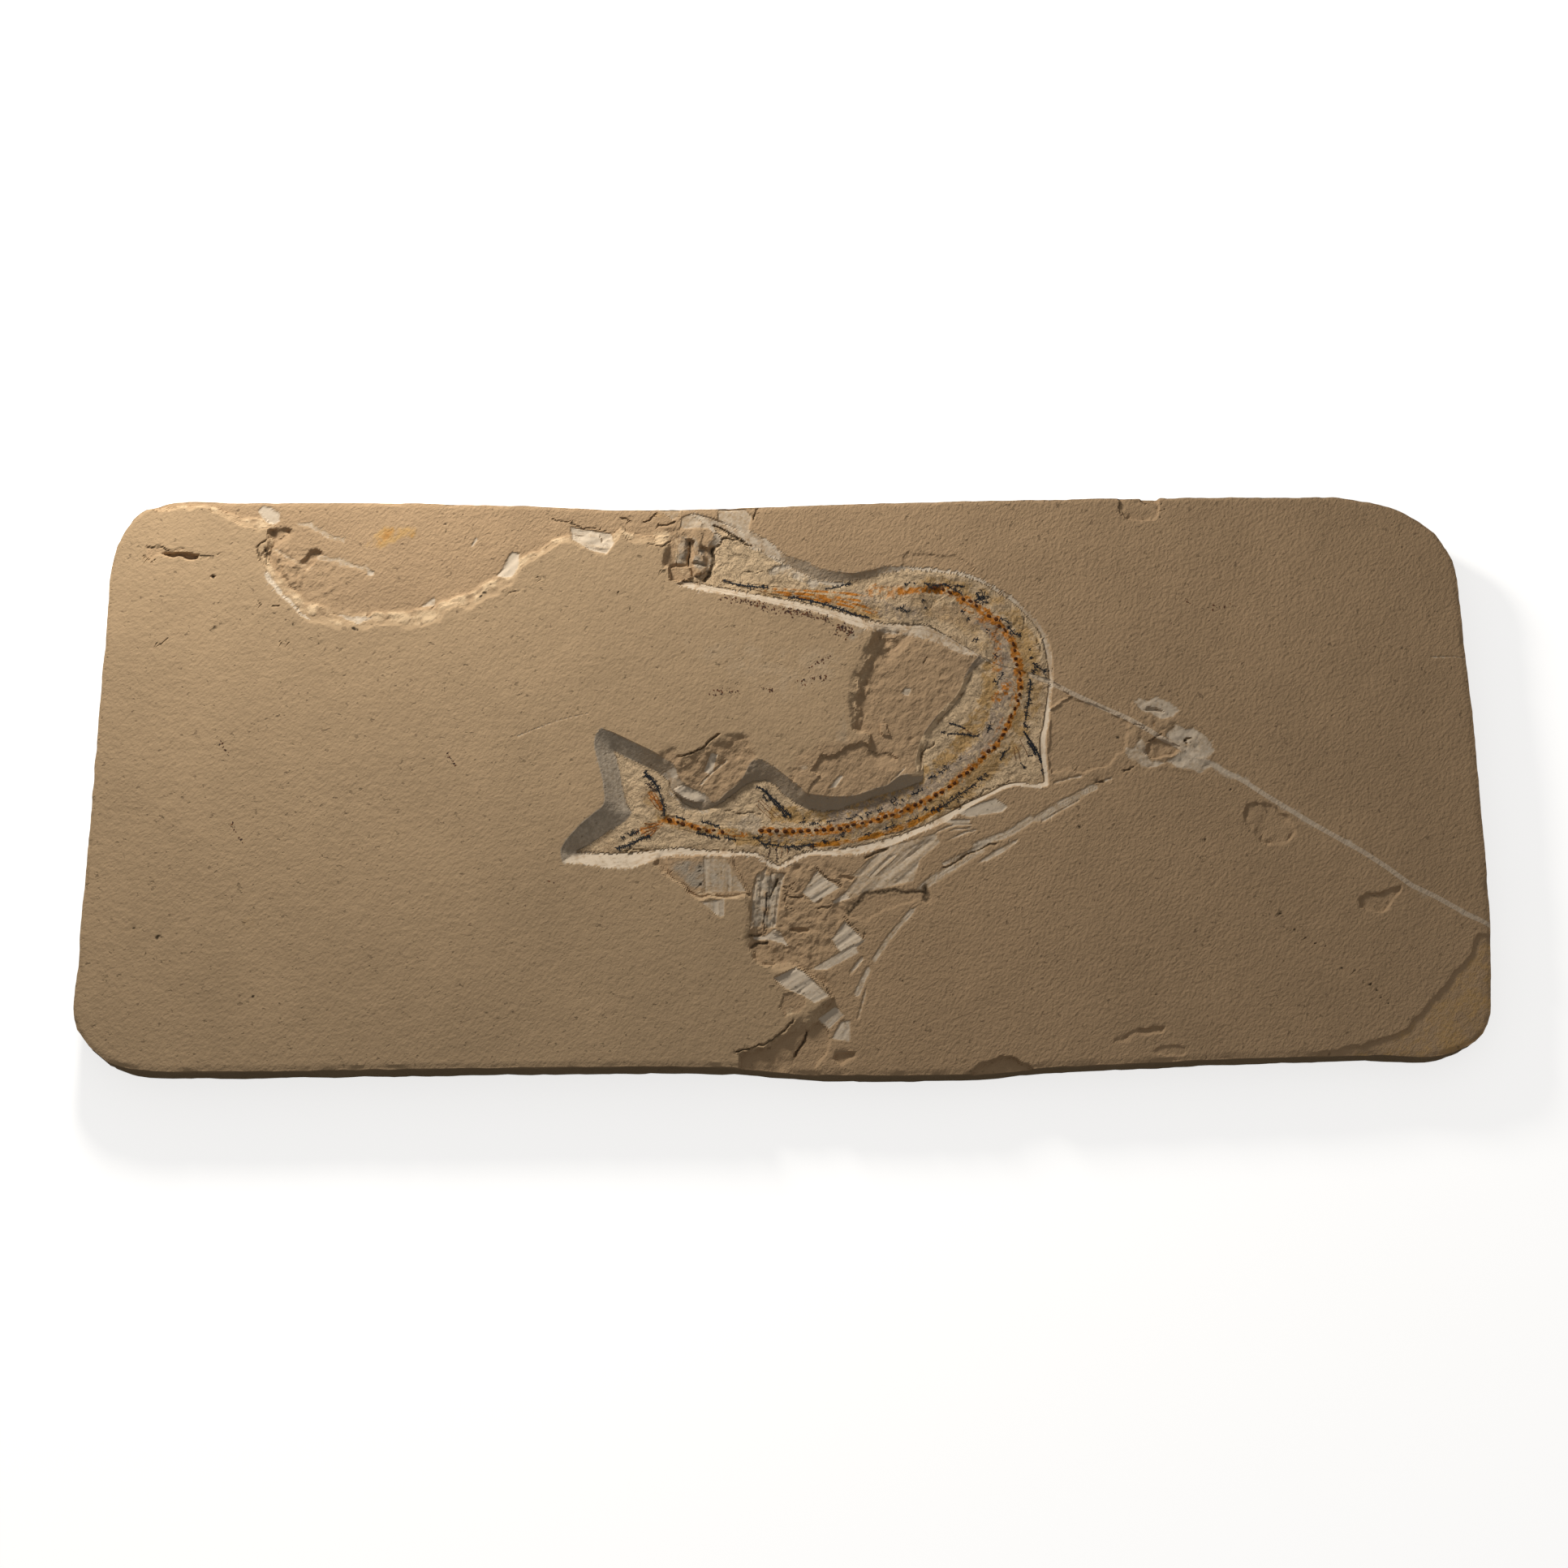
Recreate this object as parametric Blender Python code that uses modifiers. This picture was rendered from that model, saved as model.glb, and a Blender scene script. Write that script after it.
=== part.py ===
"""A fossil fish with a needle snout, curled in a recess cut into a limestone slab.

The slab lies flat. Its stone splits in thin beds, so its upper face has three main levels:
the smooth upper bed at the left, the rough bed at the right and the bed that holds the fish.
Outlines are millimetres on the plan, with the fish's belly towards +Y, and are placed round
the middle of the slab by the function at(). They are drawn as they look on the plane of the
slab's top from the front, on a steep slant, and set_back() gives where a lower place lies.
"""

import math

import bmesh
import bpy
from mathutils import Matrix, Vector

MM = 0.001

# Driving dimensions in millimetres
SLAB_THICKNESS = 18.0
RIM_BEVEL = 0.8
ROUGH_BED = 15.2
CORNER_BED = 14.3
FISH_BED = 13.2
POCKET_BED = 12.6
NODE_GAP = 0.3
MORTAR_HALF_WIDTH = 1.1
SIGHT_SLOPE = 0.306
CUTTER_OVERRUN = 3.0
CUTTER_TOP = SLAB_THICKNESS + CUTTER_OVERRUN
CUTTER_CLEARANCE = 0.05
ROUGH_BED_SLOPE = 1.4
SHARPEST_MITRE = 0.6
VERTEBRA_PITCH = 3.4
VERTEBRA_RADIUS = 1.5
VERTEBRA_WAIST = 0.55
FIRST_VERTEBRA = 0.62
GROWING_RINGS = 23
BACKBONE_HALF_HEIGHT = 0.5
FLANK_FLATNESS = 0.04
FLANK_WIDEST = 8.0
FIN_WEB = 0.35
FIN_RAY = 0.9
FIN_TIP_SHARE = 0.6
WELD_DISTANCE = 1e-6

# The slab's outline, clockwise from its front left corner
SLAB_OUTLINE = [
    (-285, -124.4), (-293.7, -117.5), (-299.1, -110.5), (-301.3, -103.5), (-301.5, -96.5),
    (-300.5, -82), (-301.2, -68), (-300.2, -10), (-300, 35), (-299.6, 65), (-299.7, 95),
    (-298.8, 103), (-297.5, 110.5), (-294, 118.3), (-290, 124.5), (-285, 128), (-280, 130),
    (-275, 131.5), (-268, 132.3), (-250, 131.7), (-200, 131.8), (-144, 130.8), (-100, 129.5),
    (-68, 128), (-42, 128.4), (-13, 129.3), (45, 131.6), (118, 133.2), (191, 134.4),
    (249, 134.4), (263, 132), (271, 130), (278, 127.3), (285, 122.8), (291.6, 117.2),
    (295.7, 110.5), (299, 103), (300, 95), (301, 64), (302.4, 27), (303.3, -40),
    (302.9, -68), (301.7, -89), (300.3, -103.5), (297, -110.5), (293, -114.3), (287, -117.5),
    (280, -120), (272, -121.5), (251, -120.2), (183, -122.2), (114, -125.5), (80, -128.6),
    (46, -129.3), (12, -129), (-22, -126), (-74, -125.8), (-125, -126.5), (-227, -128),
    (-262, -128), (-275, -127),
]

# Where the upper bed ends: up from the front edge, along the fish, and left to the back edge
UPPER_BED_EDGE_FRONT = [
    (-22, -140), (-20, -121), (-10, -117), (-5, -114), (0, -110), (4, -106), (-3, -100),
    (-2, -95), (-5, -88), (-10, -84), (-16, -74), (-15, -68), (-16, -62), (-20, -56),
    (-21, -52), (-26, -52), (-31, -60), (-36, -56), (-42, -51), (-51, -43), (-57, -38),
]
UPPER_BED_EDGE_TAIL = [(-55, -30), (-30, -26), (0, -24), (9, -12), (10, -5.5)]
UPPER_BED_EDGE_MIDDLE = [
    (12, -1), (15, 3), (11, 5), (13, 8.5), (16, 11.5), (20, 12), (28, 15.5), (37, 17),
    (37.5, 20), (30, 23), (29, 28), (28, 40), (29, 50), (32, 57), (35, 63), (38, 69.5),
]
UPPER_BED_EDGE_SNOUT = [(41, 80), (10, 86), (-30, 93), (-46, 96), (-49, 104), (-49, 115)]
UPPER_BED_EDGE_BACK = [
    (-53, 112), (-58, 110), (-62, 112), (-70, 113), (-73, 116), (-76, 113), (-80, 106),
    (-90, 108), (-96, 113), (-98, 140),
]
BEYOND_THE_SLAB = [(312, 140), (312, -140)]

# The broken ramp round the scar at the back left: its upper edge and its foot
SCAR_RIM = [
    (-94, 140), (-97, 113), (-105, 106), (-112, 101), (-119, 94), (-126, 87), (-134, 81.5),
    (-145, 80), (-150, 78.5), (-152, 75), (-160, 70), (-175, 72), (-183, 69.5), (-195, 69.3),
    (-203, 72), (-216, 78), (-224, 88), (-232, 99), (-234, 105), (-230, 112), (-231, 117.5),
    (-244, 119.5), (-258, 126.5), (-278, 125), (-288, 128), (-293, 140),
]
SCAR_FOOT = [
    (-114, 140), (-117, 118), (-118, 113), (-124, 104), (-130, 94), (-135, 90.5), (-145, 85),
    (-160, 83), (-175, 78), (-190, 80.5), (-200, 82), (-208, 84), (-214, 92), (-219, 100),
    (-226, 115), (-235, 123), (-247, 125), (-262, 130), (-286, 131), (-289, 140),
]
SCAR_POINTS = 34

# Stretches of the fish recess: rim level, points in the stretch, rim line, foot line
RECESS_STRETCHES = [
    (
        SLAB_THICKNESS, 12,
        [(-82.5, 16), (-82, 20), (-80, 23.7), (-76, 22.8), (-65, 17.5), (-52, 10.5), (-48, 8),
         (-46, 3), (-46, 0), (-40, -3), (-34, -5.5)],
        [(-74, 14), (-70, 11.5), (-62, 7.5), (-55, 4), (-50, 0.5), (-45, -5.5), (-40, -9.5),
         (-38, -13), (-33, -13)],
    ),
    (
        SLAB_THICKNESS, 7,
        [(-34, -5.5), (-30, -10), (-25, -5.5), (-20, -1.5), (-17, 3), (-14.5, 8), (-12, 9.8),
         (-9, 9.5)],
        [(-33, -13), (-28, -11), (-20, -5), (-14, -1), (-6, -0.5)],
    ),
    (
        SLAB_THICKNESS, 11,
        [(-9, 9.5), (0, 3), (8, -3.5), (15, -6.3), (28, -7), (40, -3.5), (48, 0.5), (55, 4)],
        [(-6, -0.5), (0, -6), (10, -12.5), (20, -14), (30, -11), (40, -7.5), (50, -4.8),
         (57, -2)],
    ),
    (
        ROUGH_BED, 9,
        [(55, 4), (52, 9), (53, 13), (60, 21), (70, 33), (78, 43), (80, 48), (86, 57.5)],
        [(57, -2), (56, 6), (56, 12), (62, 19.5), (72, 31.3), (80.2, 42), (82.2, 47),
         (89.5, 56)],
    ),
    (
        SLAB_THICKNESS, 12,
        [(86, 57.5), (75, 62), (66, 68), (58, 69.5), (50, 68.8), (40, 70), (30, 73), (10, 78.5),
         (-20, 85), (-40, 90), (-48, 91)],
        [(89.5, 56), (80, 63.5), (70, 69.5), (58, 72), (40, 73), (20, 79), (-10, 86),
         (-40, 92), (-45, 90.9)],
    ),
    (
        ROUGH_BED, 6,
        [(-48, 91), (-38, 96), (-34, 103), (-34, 110), (-31, 115), (-42, 126.5)],
        [(-45, 90.9), (-36, 96.2), (-32, 103), (-32, 108), (-28, 113), (-31, 119.5)],
    ),
    (
        ROUGH_BED, 7,
        [(-42, 126.5), (-28, 122), (-15, 116), (1, 105)],
        [(-31, 119.5), (-22, 114.5), (-15, 110), (0, 102)],
    ),
    (
        ROUGH_BED, 9,
        [(1, 105), (10, 101), (20, 97.5), (30, 96.8), (40, 99), (52.5, 100)],
        [(0, 102), (5, 98.5), (13, 94), (30, 93.3), (40, 94.8), (53, 98)],
    ),
    (
        ROUGH_BED, 13,
        [(52.5, 100), (70, 98.9), (80, 97), (90, 92.8), (100, 87), (107, 80.6), (114.5, 71.5),
         (118, 60), (119, 50)],
        [(53, 98), (70, 97), (80, 95.4), (90, 91.2), (100, 84.7), (107, 77.7), (113.4, 69),
         (116, 59), (117, 50)],
    ),
    (
        ROUGH_BED, 8,
        [(119, 50), (117.5, 40), (115.8, 25), (114.5, 20), (115.3, 10), (115.5, 2),
         (114.5, -3)],
        [(117, 50), (115, 40), (113.6, 25), (112.2, 20), (112.4, 10), (113.6, 2),
         (112.8, -1.2)],
    ),
    (
        ROUGH_BED, 22,
        [(114.5, -3), (100, -2.5), (85, -9), (75, -15), (57, -25), (38, -31.5), (25, -33),
         (10, -34), (2, -38), (-3, -40.3), (-8, -37.5), (-14, -34), (-40, -33.8), (-52, -35)],
        [(112.8, -1.2), (100, -0.9), (85, -7.4), (75, -13), (55, -24.5), (35, -30),
         (25, -31.2), (10, -32.2), (4, -34), (-3, -38), (-8, -35), (-14, -32.3), (-40, -31.5),
         (-51, -31.5)],
    ),
    (
        SLAB_THICKNESS, 6,
        [(-52, -35), (-57, -36.5), (-65, -39.3), (-78, -39), (-94, -37)],
        [(-51, -31.5), (-60, -32), (-70, -33), (-80, -32.8), (-89, -32.5)],
    ),
    (
        SLAB_THICKNESS, 11,
        [(-94, -37), (-96, -31), (-90, -22), (-79, -12), (-77.5, -9), (-78.5, 0),
         (-80.5, 8), (-82.5, 16)],
        [(-89, -32.5), (-84, -29), (-75, -22.5), (-67, -16.5), (-66, -14), (-69.5, -5),
         (-71.5, 5), (-74, 14)],
    ),
]

# Hollows and shallow ledges: name, floor level, slope width, outline
HOLLOWS = [
    ("tail_scar", 15.6, 1.6, [
        (-60, 9), (-56, 14), (-45, 15.5), (-35, 17.5), (-28, 21), (-23, 22.5), (-14, 22.5),
        (-12, 15), (-15, 9), (-17, 3), (-21, -1), (-30, -8), (-40, -4), (-48, 6),
    ]),
    ("broken_pocket", POCKET_BED, 1.5, [
        (-51.5, 94), (-46, 92.5), (-38, 95), (-34, 101), (-33, 110), (-37, 117), (-44, 117.5),
        (-50.5, 113), (-51, 104),
    ]),
    ("corner_bed", CORNER_BED, 0.6, [
        (310, -68), (297, -68), (294, -74), (287, -84), (279, -93), (270, -103), (260, -111),
        (240, -117), (225, -120.5), (215, -135), (310, -140),
    ]),
    ("scar_by_the_break", 14.5, 0.8, [
        (200, -20), (199.5, -14), (205, -9.5), (214, -11), (222, -19), (220, -26), (215, -28.5),
        (209, -30),
    ]),
    ("scar_at_the_right", 14.5, 0.8, [
        (247, -53), (250, -50.5), (262, -48), (267, -49), (261, -57), (252, -60),
    ]),
    ("arched_scar", 14.2, 0.8, [
        (138, -116), (141, -114), (151, -109.5), (156, -108), (163, -109.3), (161, -113),
        (150, -113), (143, -115),
    ]),
    ("front_hollow", 13.6, 0.8, [(19, -120), (25, -118.5), (31, -120), (29, -124.5), (21, -125)]),
    ("front_chip", 12.5, 1.0, [(78, -133), (81, -125), (92, -122), (103, -123), (108, -131)]),
    ("back_notch", 14.0, 0.8, [(150, 139), (151, 126), (155, 122.5), (165, 123), (169, 139)]),
    ("second_ledge", 14.3, 0.8, [
        (4, -123), (10, -113), (14, -103), (20, -96), (27, -101), (24, -110), (17, -124),
    ]),
    ("bark_like_cavity", 13.9, 0.8, [(2, -65), (7, -62.5), (13, -65), (11, -70), (4, -70)]),
    ("gouge", 14.2, 0.6, [(-217, 100), (-212, 105), (-205, 107.5), (-203, 105.5), (-213, 99.5)]),
    ("scratch_pit", 16.8, 0.5, [(-284, 106), (-282, 110), (-262, 107.5), (-262, 103.5)]),
    ("inner_ledge", 14.3, 1.2, [
        (31, 31), (30, 45), (33, 56), (39, 66), (52, 69.5), (56, 68), (48, 62.5), (42, 56),
        (38, 47), (35, 34),
    ]),
    ("planed_channel", 14.3, 0.8, [
        (-12, -43), (-7, -41), (-4, -50), (-4, -62), (-9, -62), (-11, -52),
    ]),
    ("planed_stroke", 14.4, 0.7, [(58, -48), (62, -44), (86, -29), (88, -32), (66, -47)]),
    ("long_stroke", 14.4, 0.7, [(84, -31), (100, -21), (133, -1.5), (136, -4), (112, -20)]),
]

# The mended break: mortar from the right edge to the fish, then a tight joint to the back edge
BREAK_WITH_MORTAR = [
    (312, -67), (295, -61), (280, -52), (260, -39), (240, -26), (220, -13.5), (200, 0),
    (180, 11), (165, 19.5), (150, 29), (130, 38.5), (118, 45), (111, 48), (102, 50.5),
]
TIGHT_BREAK = [
    (100.4, 51), (97, 52), (91.5, 54), (84, 59.5), (72, 67), (60, 70.5), (48, 70.8),
    (38, 71.8), (20, 77.6), (0, 82), (-20, 86.5), (-38, 90.7), (-48, 98), (-47.5, 110),
    (-46, 124), (-45, 140),
]
BEYOND_THE_BREAK = [(-45, 150), (320, 150)]

# The fish. Backbone from the tail to the nape
SPINE = [
    (-50, -18), (-42, -20), (-32, -22.5), (-17, -24.3), (0, -23), (10, -22.7), (20, -22),
    (30, -20), (40, -17.5), (50, -14.3), (60, -10), (70, -4.3), (80, 4), (90, 13.5),
    (96, 21), (100, 30), (103.5, 40), (104, 50), (102.5, 58), (100, 66), (95, 73), (88, 79),
    (80, 84.5), (72, 89), (67.3, 89.8),
]
# Flank with its scales: middle line and half width
FLANK = [
    (-50, -18, 3.0), (-40, -20.5, 3.2), (-27, -23.3, 3.5), (-10, -23.5, 4.5), (5, -23.3, 5.8),
    (20, -22.3, 6.3), (35, -19.5, 6.5), (50, -15, 6.8), (62, -8.5, 7), (72, -1.5, 7.2),
    (82, 7, 7.5), (91, 17.5, 7.8), (97, 28, 8), (100, 38, 8), (100.5, 50, 8), (98.5, 61, 7.6),
    (93, 71, 7), (85, 79.5, 6.5), (76, 85, 6), (67, 87, 5.5),
]
# Jaws: middle line and radius
UPPER_JAW = [(-27, 93.3, 0.5), (-10, 90.9, 0.8), (5, 89.6, 1.1), (20, 88.9, 1.5), (40, 87.5, 2.4)]
LOWER_JAW = [(-11, 88, 0.5), (5, 85.4, 0.9), (20, 82, 1.2), (32, 79.4, 1.4), (46, 78.5, 1.8)]
# Bones of the skull: centre, half length, half width, turn in degrees
SKULL_BONES = [
    ("braincase", (45.5, 84.6), 14.0, 6.2, -4.0),
    ("gill_cover", (57.0, 81.8), 7.6, 6.4, -18.0),
]
SKULL_HALF_HEIGHT = 0.9
SKULL_SQUASH = 0.55

# Fins: rays, root line, tip line
TAIL_FIN = (
    13,
    [(-51.3, -12.5), (-52.5, -15), (-53, -18), (-54, -21), (-57.5, -24.8)],
    [(-60.8, 4.5), (-59.5, -4), (-59, -11), (-60.5, -15.5), (-63, -19), (-67, -24), (-72.3, -30.8)],
)
DORSAL_FIN = (5, [(4, -16.4), (-8, -18.0)], [(-11.5, -2.6), (-13, -5.5), (-12.6, -9.5)])
ANAL_FIN = (5, [(5, -29.9), (-9, -29.0)], [(0.5, -32.6), (-3.2, -36.8), (-9.6, -32.8)])
INNER_PELVIC_FIN = (3, [(83.8, 23.2), (82.6, 20.4)], [(71.6, 26.8), (69.6, 24.2), (69.4, 21.6)])
OUTER_PELVIC_FIN = (
    5,
    [(105.2, 23.4), (102.4, 18.0)],
    [(111.2, 9.6), (110.4, 4.4), (107.2, 5.2), (103.4, 7.6)],
)

STONE_COLOUR = (0.36, 0.27, 0.165, 1.0)
MORTAR_COLOUR = (0.24, 0.19, 0.14, 1.0)
BONE_COLOUR = (0.30, 0.13, 0.035, 1.0)
SCALE_COLOUR = (0.27, 0.22, 0.18, 1.0)
FIN_COLOUR = (0.09, 0.055, 0.03, 1.0)


def middle_of(outline):
    xs = [x for x, _ in outline]
    ys = [y for _, y in outline]
    return (min(xs) + max(xs)) / 2, (min(ys) + max(ys)) / 2


SLAB_MIDDLE = middle_of(SLAB_OUTLINE)


def at(x, y, z):
    """A place in metres, from millimetres on the plan and above the slab's underside."""
    return Vector(((x - SLAB_MIDDLE[0]) * MM, (y - SLAB_MIDDLE[1]) * MM, z * MM))


def set_back(y, level):
    """Where a place drawn at y really lies, when it is on a lower level."""
    return y + (SLAB_THICKNESS - level) * SIGHT_SLOPE


def new_collection(name):
    collection = bpy.data.collections.new(name)
    bpy.context.scene.collection.children.link(collection)
    return collection


def new_material(name, colour, roughness):
    material = bpy.data.materials.new(name)
    material.use_nodes = True
    shader = material.node_tree.nodes["Principled BSDF"]
    shader.inputs["Base Color"].default_value = colour
    shader.inputs["Roughness"].default_value = roughness
    shader.inputs["Metallic"].default_value = 0.0
    return material


def along(line, count):
    """Points spread evenly along a line of points of any size, both ends among them."""
    points = [Vector(point) for point in line]
    reach = [0.0]
    for start, end in zip(points, points[1:]):
        reach.append(reach[-1] + (end - start).length)
    spread = []
    leg = 0
    for index in range(count):
        wanted = reach[-1] * index / (count - 1)
        while leg < len(points) - 2 and reach[leg + 1] < wanted:
            leg += 1
        share = (wanted - reach[leg]) / (reach[leg + 1] - reach[leg])
        spread.append(points[leg].lerp(points[leg + 1], min(max(share, 0.0), 1.0)))
    return spread


def smooth_line(line, steps):
    """A curve through the given points, with so many steps between each two of them."""
    points = [Vector(point) for point in line]
    points = [points[0] * 2 - points[1]] + points + [points[-1] * 2 - points[-2]]
    curve = []
    for a, b, c, d in zip(points, points[1:], points[2:], points[3:]):
        for step in range(steps):
            t = step / steps
            curve.append(
                (b * 2 + (c - a) * t + (a * 2 - b * 5 + c * 4 - d) * t * t
                 + (b * 3 - a - c * 3 + d) * t * t * t) / 2
            )
    curve.append(points[-2])
    return curve


def is_anticlockwise(outline):
    area = 0.0
    for (x0, y0), (x1, y1) in zip(outline, outline[1:] + outline[:1]):
        area += x0 * y1 - x1 * y0
    return area > 0


def drawn_in(outline, distance):
    """The outline moved inwards, each corner along its own mitre."""
    turn = 1.0 if is_anticlockwise(outline) else -1.0
    moved = []
    for index, here in enumerate(outline):
        here = Vector(here)
        before = (here - Vector(outline[index - 1])).normalized()
        after = (Vector(outline[(index + 1) % len(outline)]) - here).normalized()
        mitre = Vector((-before.y - after.y, before.x + after.x)) * turn
        mitre.normalize()
        inward = Vector((-before.y, before.x)) * turn
        reach = distance / max(mitre.dot(inward), SHARPEST_MITRE)
        moved.append(tuple(here + mitre * reach))
    return moved


def flat_solid(name, outline, low, high, collection):
    """An upright solid from a filled outline, between two levels."""
    curve = bpy.data.curves.new(name, "CURVE")
    curve.dimensions = "2D"
    curve.fill_mode = "BOTH"
    curve.extrude = (high - low) / 2 * MM
    spline = curve.splines.new("POLY")
    spline.points.add(len(outline) - 1)
    for point, (x, y) in zip(spline.points, outline):
        place = at(x, y, 0)
        point.co = (place.x, place.y, 0, 1)
    spline.use_cyclic_u = True
    guide = bpy.data.objects.new(name, curve)
    guide.location.z = (low + high) / 2 * MM
    return mesh_from_curve(guide, collection)


def mesh_from_curve(guide, collection):
    """The curve's own surface as a welded mesh in place of the curve."""
    bpy.context.scene.collection.objects.link(guide)
    bpy.context.view_layer.update()
    graph = bpy.context.evaluated_depsgraph_get()
    mesh = bpy.data.meshes.new_from_object(guide.evaluated_get(graph))
    mesh.transform(guide.matrix_world)
    weld = bmesh.new()
    weld.from_mesh(mesh)
    bmesh.ops.remove_doubles(weld, verts=weld.verts, dist=WELD_DISTANCE)
    bmesh.ops.recalc_face_normals(weld, faces=weld.faces)
    weld.to_mesh(mesh)
    weld.free()
    name = guide.name
    bpy.data.objects.remove(guide)
    piece = bpy.data.objects.new(name, mesh)
    mesh.name = name
    collection.objects.link(piece)
    return piece


def lofted_solid(name, rings, collection):
    """A closed body through rings of equal count, each a list of places in metres."""
    build = bmesh.new()
    rows = [[build.verts.new(place) for place in ring] for ring in rings]
    for low, high in zip(rows, rows[1:]):
        for index in range(len(low)):
            after = (index + 1) % len(low)
            build.faces.new((low[index], low[after], high[after], high[index]))
    build.faces.new(list(reversed(rows[0])))
    build.faces.new(rows[-1])
    build.normal_update()
    bmesh.ops.triangulate(build, faces=build.faces)
    bmesh.ops.recalc_face_normals(build, faces=build.faces)
    mesh = bpy.data.meshes.new(name)
    build.to_mesh(mesh)
    build.free()
    piece = bpy.data.objects.new(name, mesh)
    collection.objects.link(piece)
    return piece


def hollow_cutter(name, outline, floor, slope, collection):
    """A cutter that leaves a floor with a sloped wall round it."""
    inner = drawn_in(outline, slope)
    rings = [
        [at(x, y, floor) for x, y in inner],
        [at(x, y, SLAB_THICKNESS + CUTTER_CLEARANCE) for x, y in outline],
        [at(x, y, CUTTER_TOP) for x, y in outline],
    ]
    return lofted_solid(name, rings, collection)


def scar_cutter(collection):
    """The scar at the back left, whose ramp changes in width along it."""
    rim = along(SCAR_RIM, SCAR_POINTS)
    foot = along(SCAR_FOOT, SCAR_POINTS)
    rings = [
        [at(point.x, point.y, ROUGH_BED) for point in foot],
        [at(point.x, point.y, SLAB_THICKNESS + CUTTER_CLEARANCE) for point in rim],
        [at(point.x, point.y, CUTTER_TOP) for point in rim],
    ]
    return lofted_solid("scar_ramp", rings, collection)


def recess_cutter(collection):
    """The recess round the fish, its rim on one bed and its foot on the fish's own."""
    foot, rim, top = [], [], []
    for level, count, rim_line, foot_line in RECESS_STRETCHES:
        for rim_point, foot_point in list(zip(along(rim_line, count), along(foot_line, count)))[:-1]:
            rim_y = set_back(rim_point.y, level)
            foot.append(at(foot_point.x, set_back(foot_point.y, FISH_BED), FISH_BED))
            rim.append(at(rim_point.x, rim_y, level + CUTTER_CLEARANCE))
            top.append(at(rim_point.x, rim_y, CUTTER_TOP))
    return lofted_solid("fish_recess", [foot, rim, top], collection)


def hide_as_cutter(piece):
    piece.hide_render = True
    piece.display_type = "WIRE"


def apply_boolean(piece, other, operation):
    modifier = piece.modifiers.new(other.name, "BOOLEAN")
    modifier.operation = operation
    modifier.solver = "EXACT"
    modifier.object = other
    with bpy.context.temp_override(object=piece, active_object=piece, selected_objects=[piece]):
        bpy.ops.object.modifier_apply(modifier=modifier.name)


def bevel_edges(piece, width):
    modifier = piece.modifiers.new("rim", "BEVEL")
    modifier.width = width * MM
    modifier.segments = 1
    modifier.limit_method = "ANGLE"
    modifier.angle_limit = math.radians(60)
    with bpy.context.temp_override(object=piece, active_object=piece, selected_objects=[piece]):
        bpy.ops.object.modifier_apply(modifier=modifier.name)


def copy_of(piece, name, collection):
    twin = piece.copy()
    twin.data = piece.data.copy()
    twin.name = name
    twin.data.name = name
    collection.objects.link(twin)
    return twin


def rough_bed_outline():
    return (
        UPPER_BED_EDGE_FRONT + UPPER_BED_EDGE_TAIL + UPPER_BED_EDGE_MIDDLE
        + UPPER_BED_EDGE_SNOUT + UPPER_BED_EDGE_BACK + BEYOND_THE_SLAB
    )


def make_whole_slab(parts, cutters):
    slab = flat_solid("slab_main", SLAB_OUTLINE, 0.0, SLAB_THICKNESS, parts)
    bevel_edges(slab, RIM_BEVEL)
    bed_cutters = [
        hollow_cutter("rough_bed", rough_bed_outline(), ROUGH_BED, ROUGH_BED_SLOPE, cutters),
        scar_cutter(cutters),
        recess_cutter(cutters),
    ]
    for name, floor, slope, outline in HOLLOWS:
        bed_cutters.append(hollow_cutter(name, outline, floor, slope, cutters))
    for cutter in bed_cutters:
        hide_as_cutter(cutter)
        apply_boolean(slab, cutter, "DIFFERENCE")
    return slab


def sides_of_break():
    """Points of the whole break with their half widths, the mortar's first."""
    line = [(Vector(point), MORTAR_HALF_WIDTH) for point in BREAK_WITH_MORTAR]
    line += [(Vector(point), NODE_GAP / 2) for point in TIGHT_BREAK]
    return line


def shifted_break(share, extra=0.0):
    """The break's line moved to one side by a share of its half width."""
    line = sides_of_break()
    moved = []
    for index, (point, half) in enumerate(line):
        before = line[max(index - 1, 0)][0]
        after = line[min(index + 1, len(line) - 1)][0]
        run = (after - before).normalized()
        side = Vector((run.y, -run.x))
        x, y = point + side * (share * half + extra)
        moved.append((x, set_back(y, ROUGH_BED)))
    return moved


def split_at_the_break(slab, parts, cutters):
    """Two stones with mortar between them, each clear of the next by the gap."""
    upper_side = shifted_break(1.0) + BEYOND_THE_BREAK
    lower_side = shifted_break(-1.0) + BEYOND_THE_BREAK
    with_mortar = len(BREAK_WITH_MORTAR)
    mortar_outline = (
        shifted_break(1.0, -NODE_GAP)[:with_mortar]
        + list(reversed(shifted_break(-1.0, NODE_GAP)[:with_mortar]))
    )
    low, high = -CUTTER_OVERRUN, CUTTER_TOP + CUTTER_OVERRUN
    upper = flat_solid("upper_side_of_break", upper_side, low, high, cutters)
    lower = flat_solid("lower_side_of_break", lower_side, low, high, cutters)
    seam = flat_solid("mortar_seam", mortar_outline, low, high, cutters)
    upper_stone = copy_of(slab, "slab_upper_right", parts)
    mortar = copy_of(slab, "break_mortar", parts)
    for piece, cutter, operation in (
        (upper_stone, upper, "INTERSECT"),
        (mortar, seam, "INTERSECT"),
        (slab, lower, "DIFFERENCE"),
    ):
        hide_as_cutter(cutter)
        apply_boolean(piece, cutter, operation)
    return upper_stone, mortar


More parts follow.
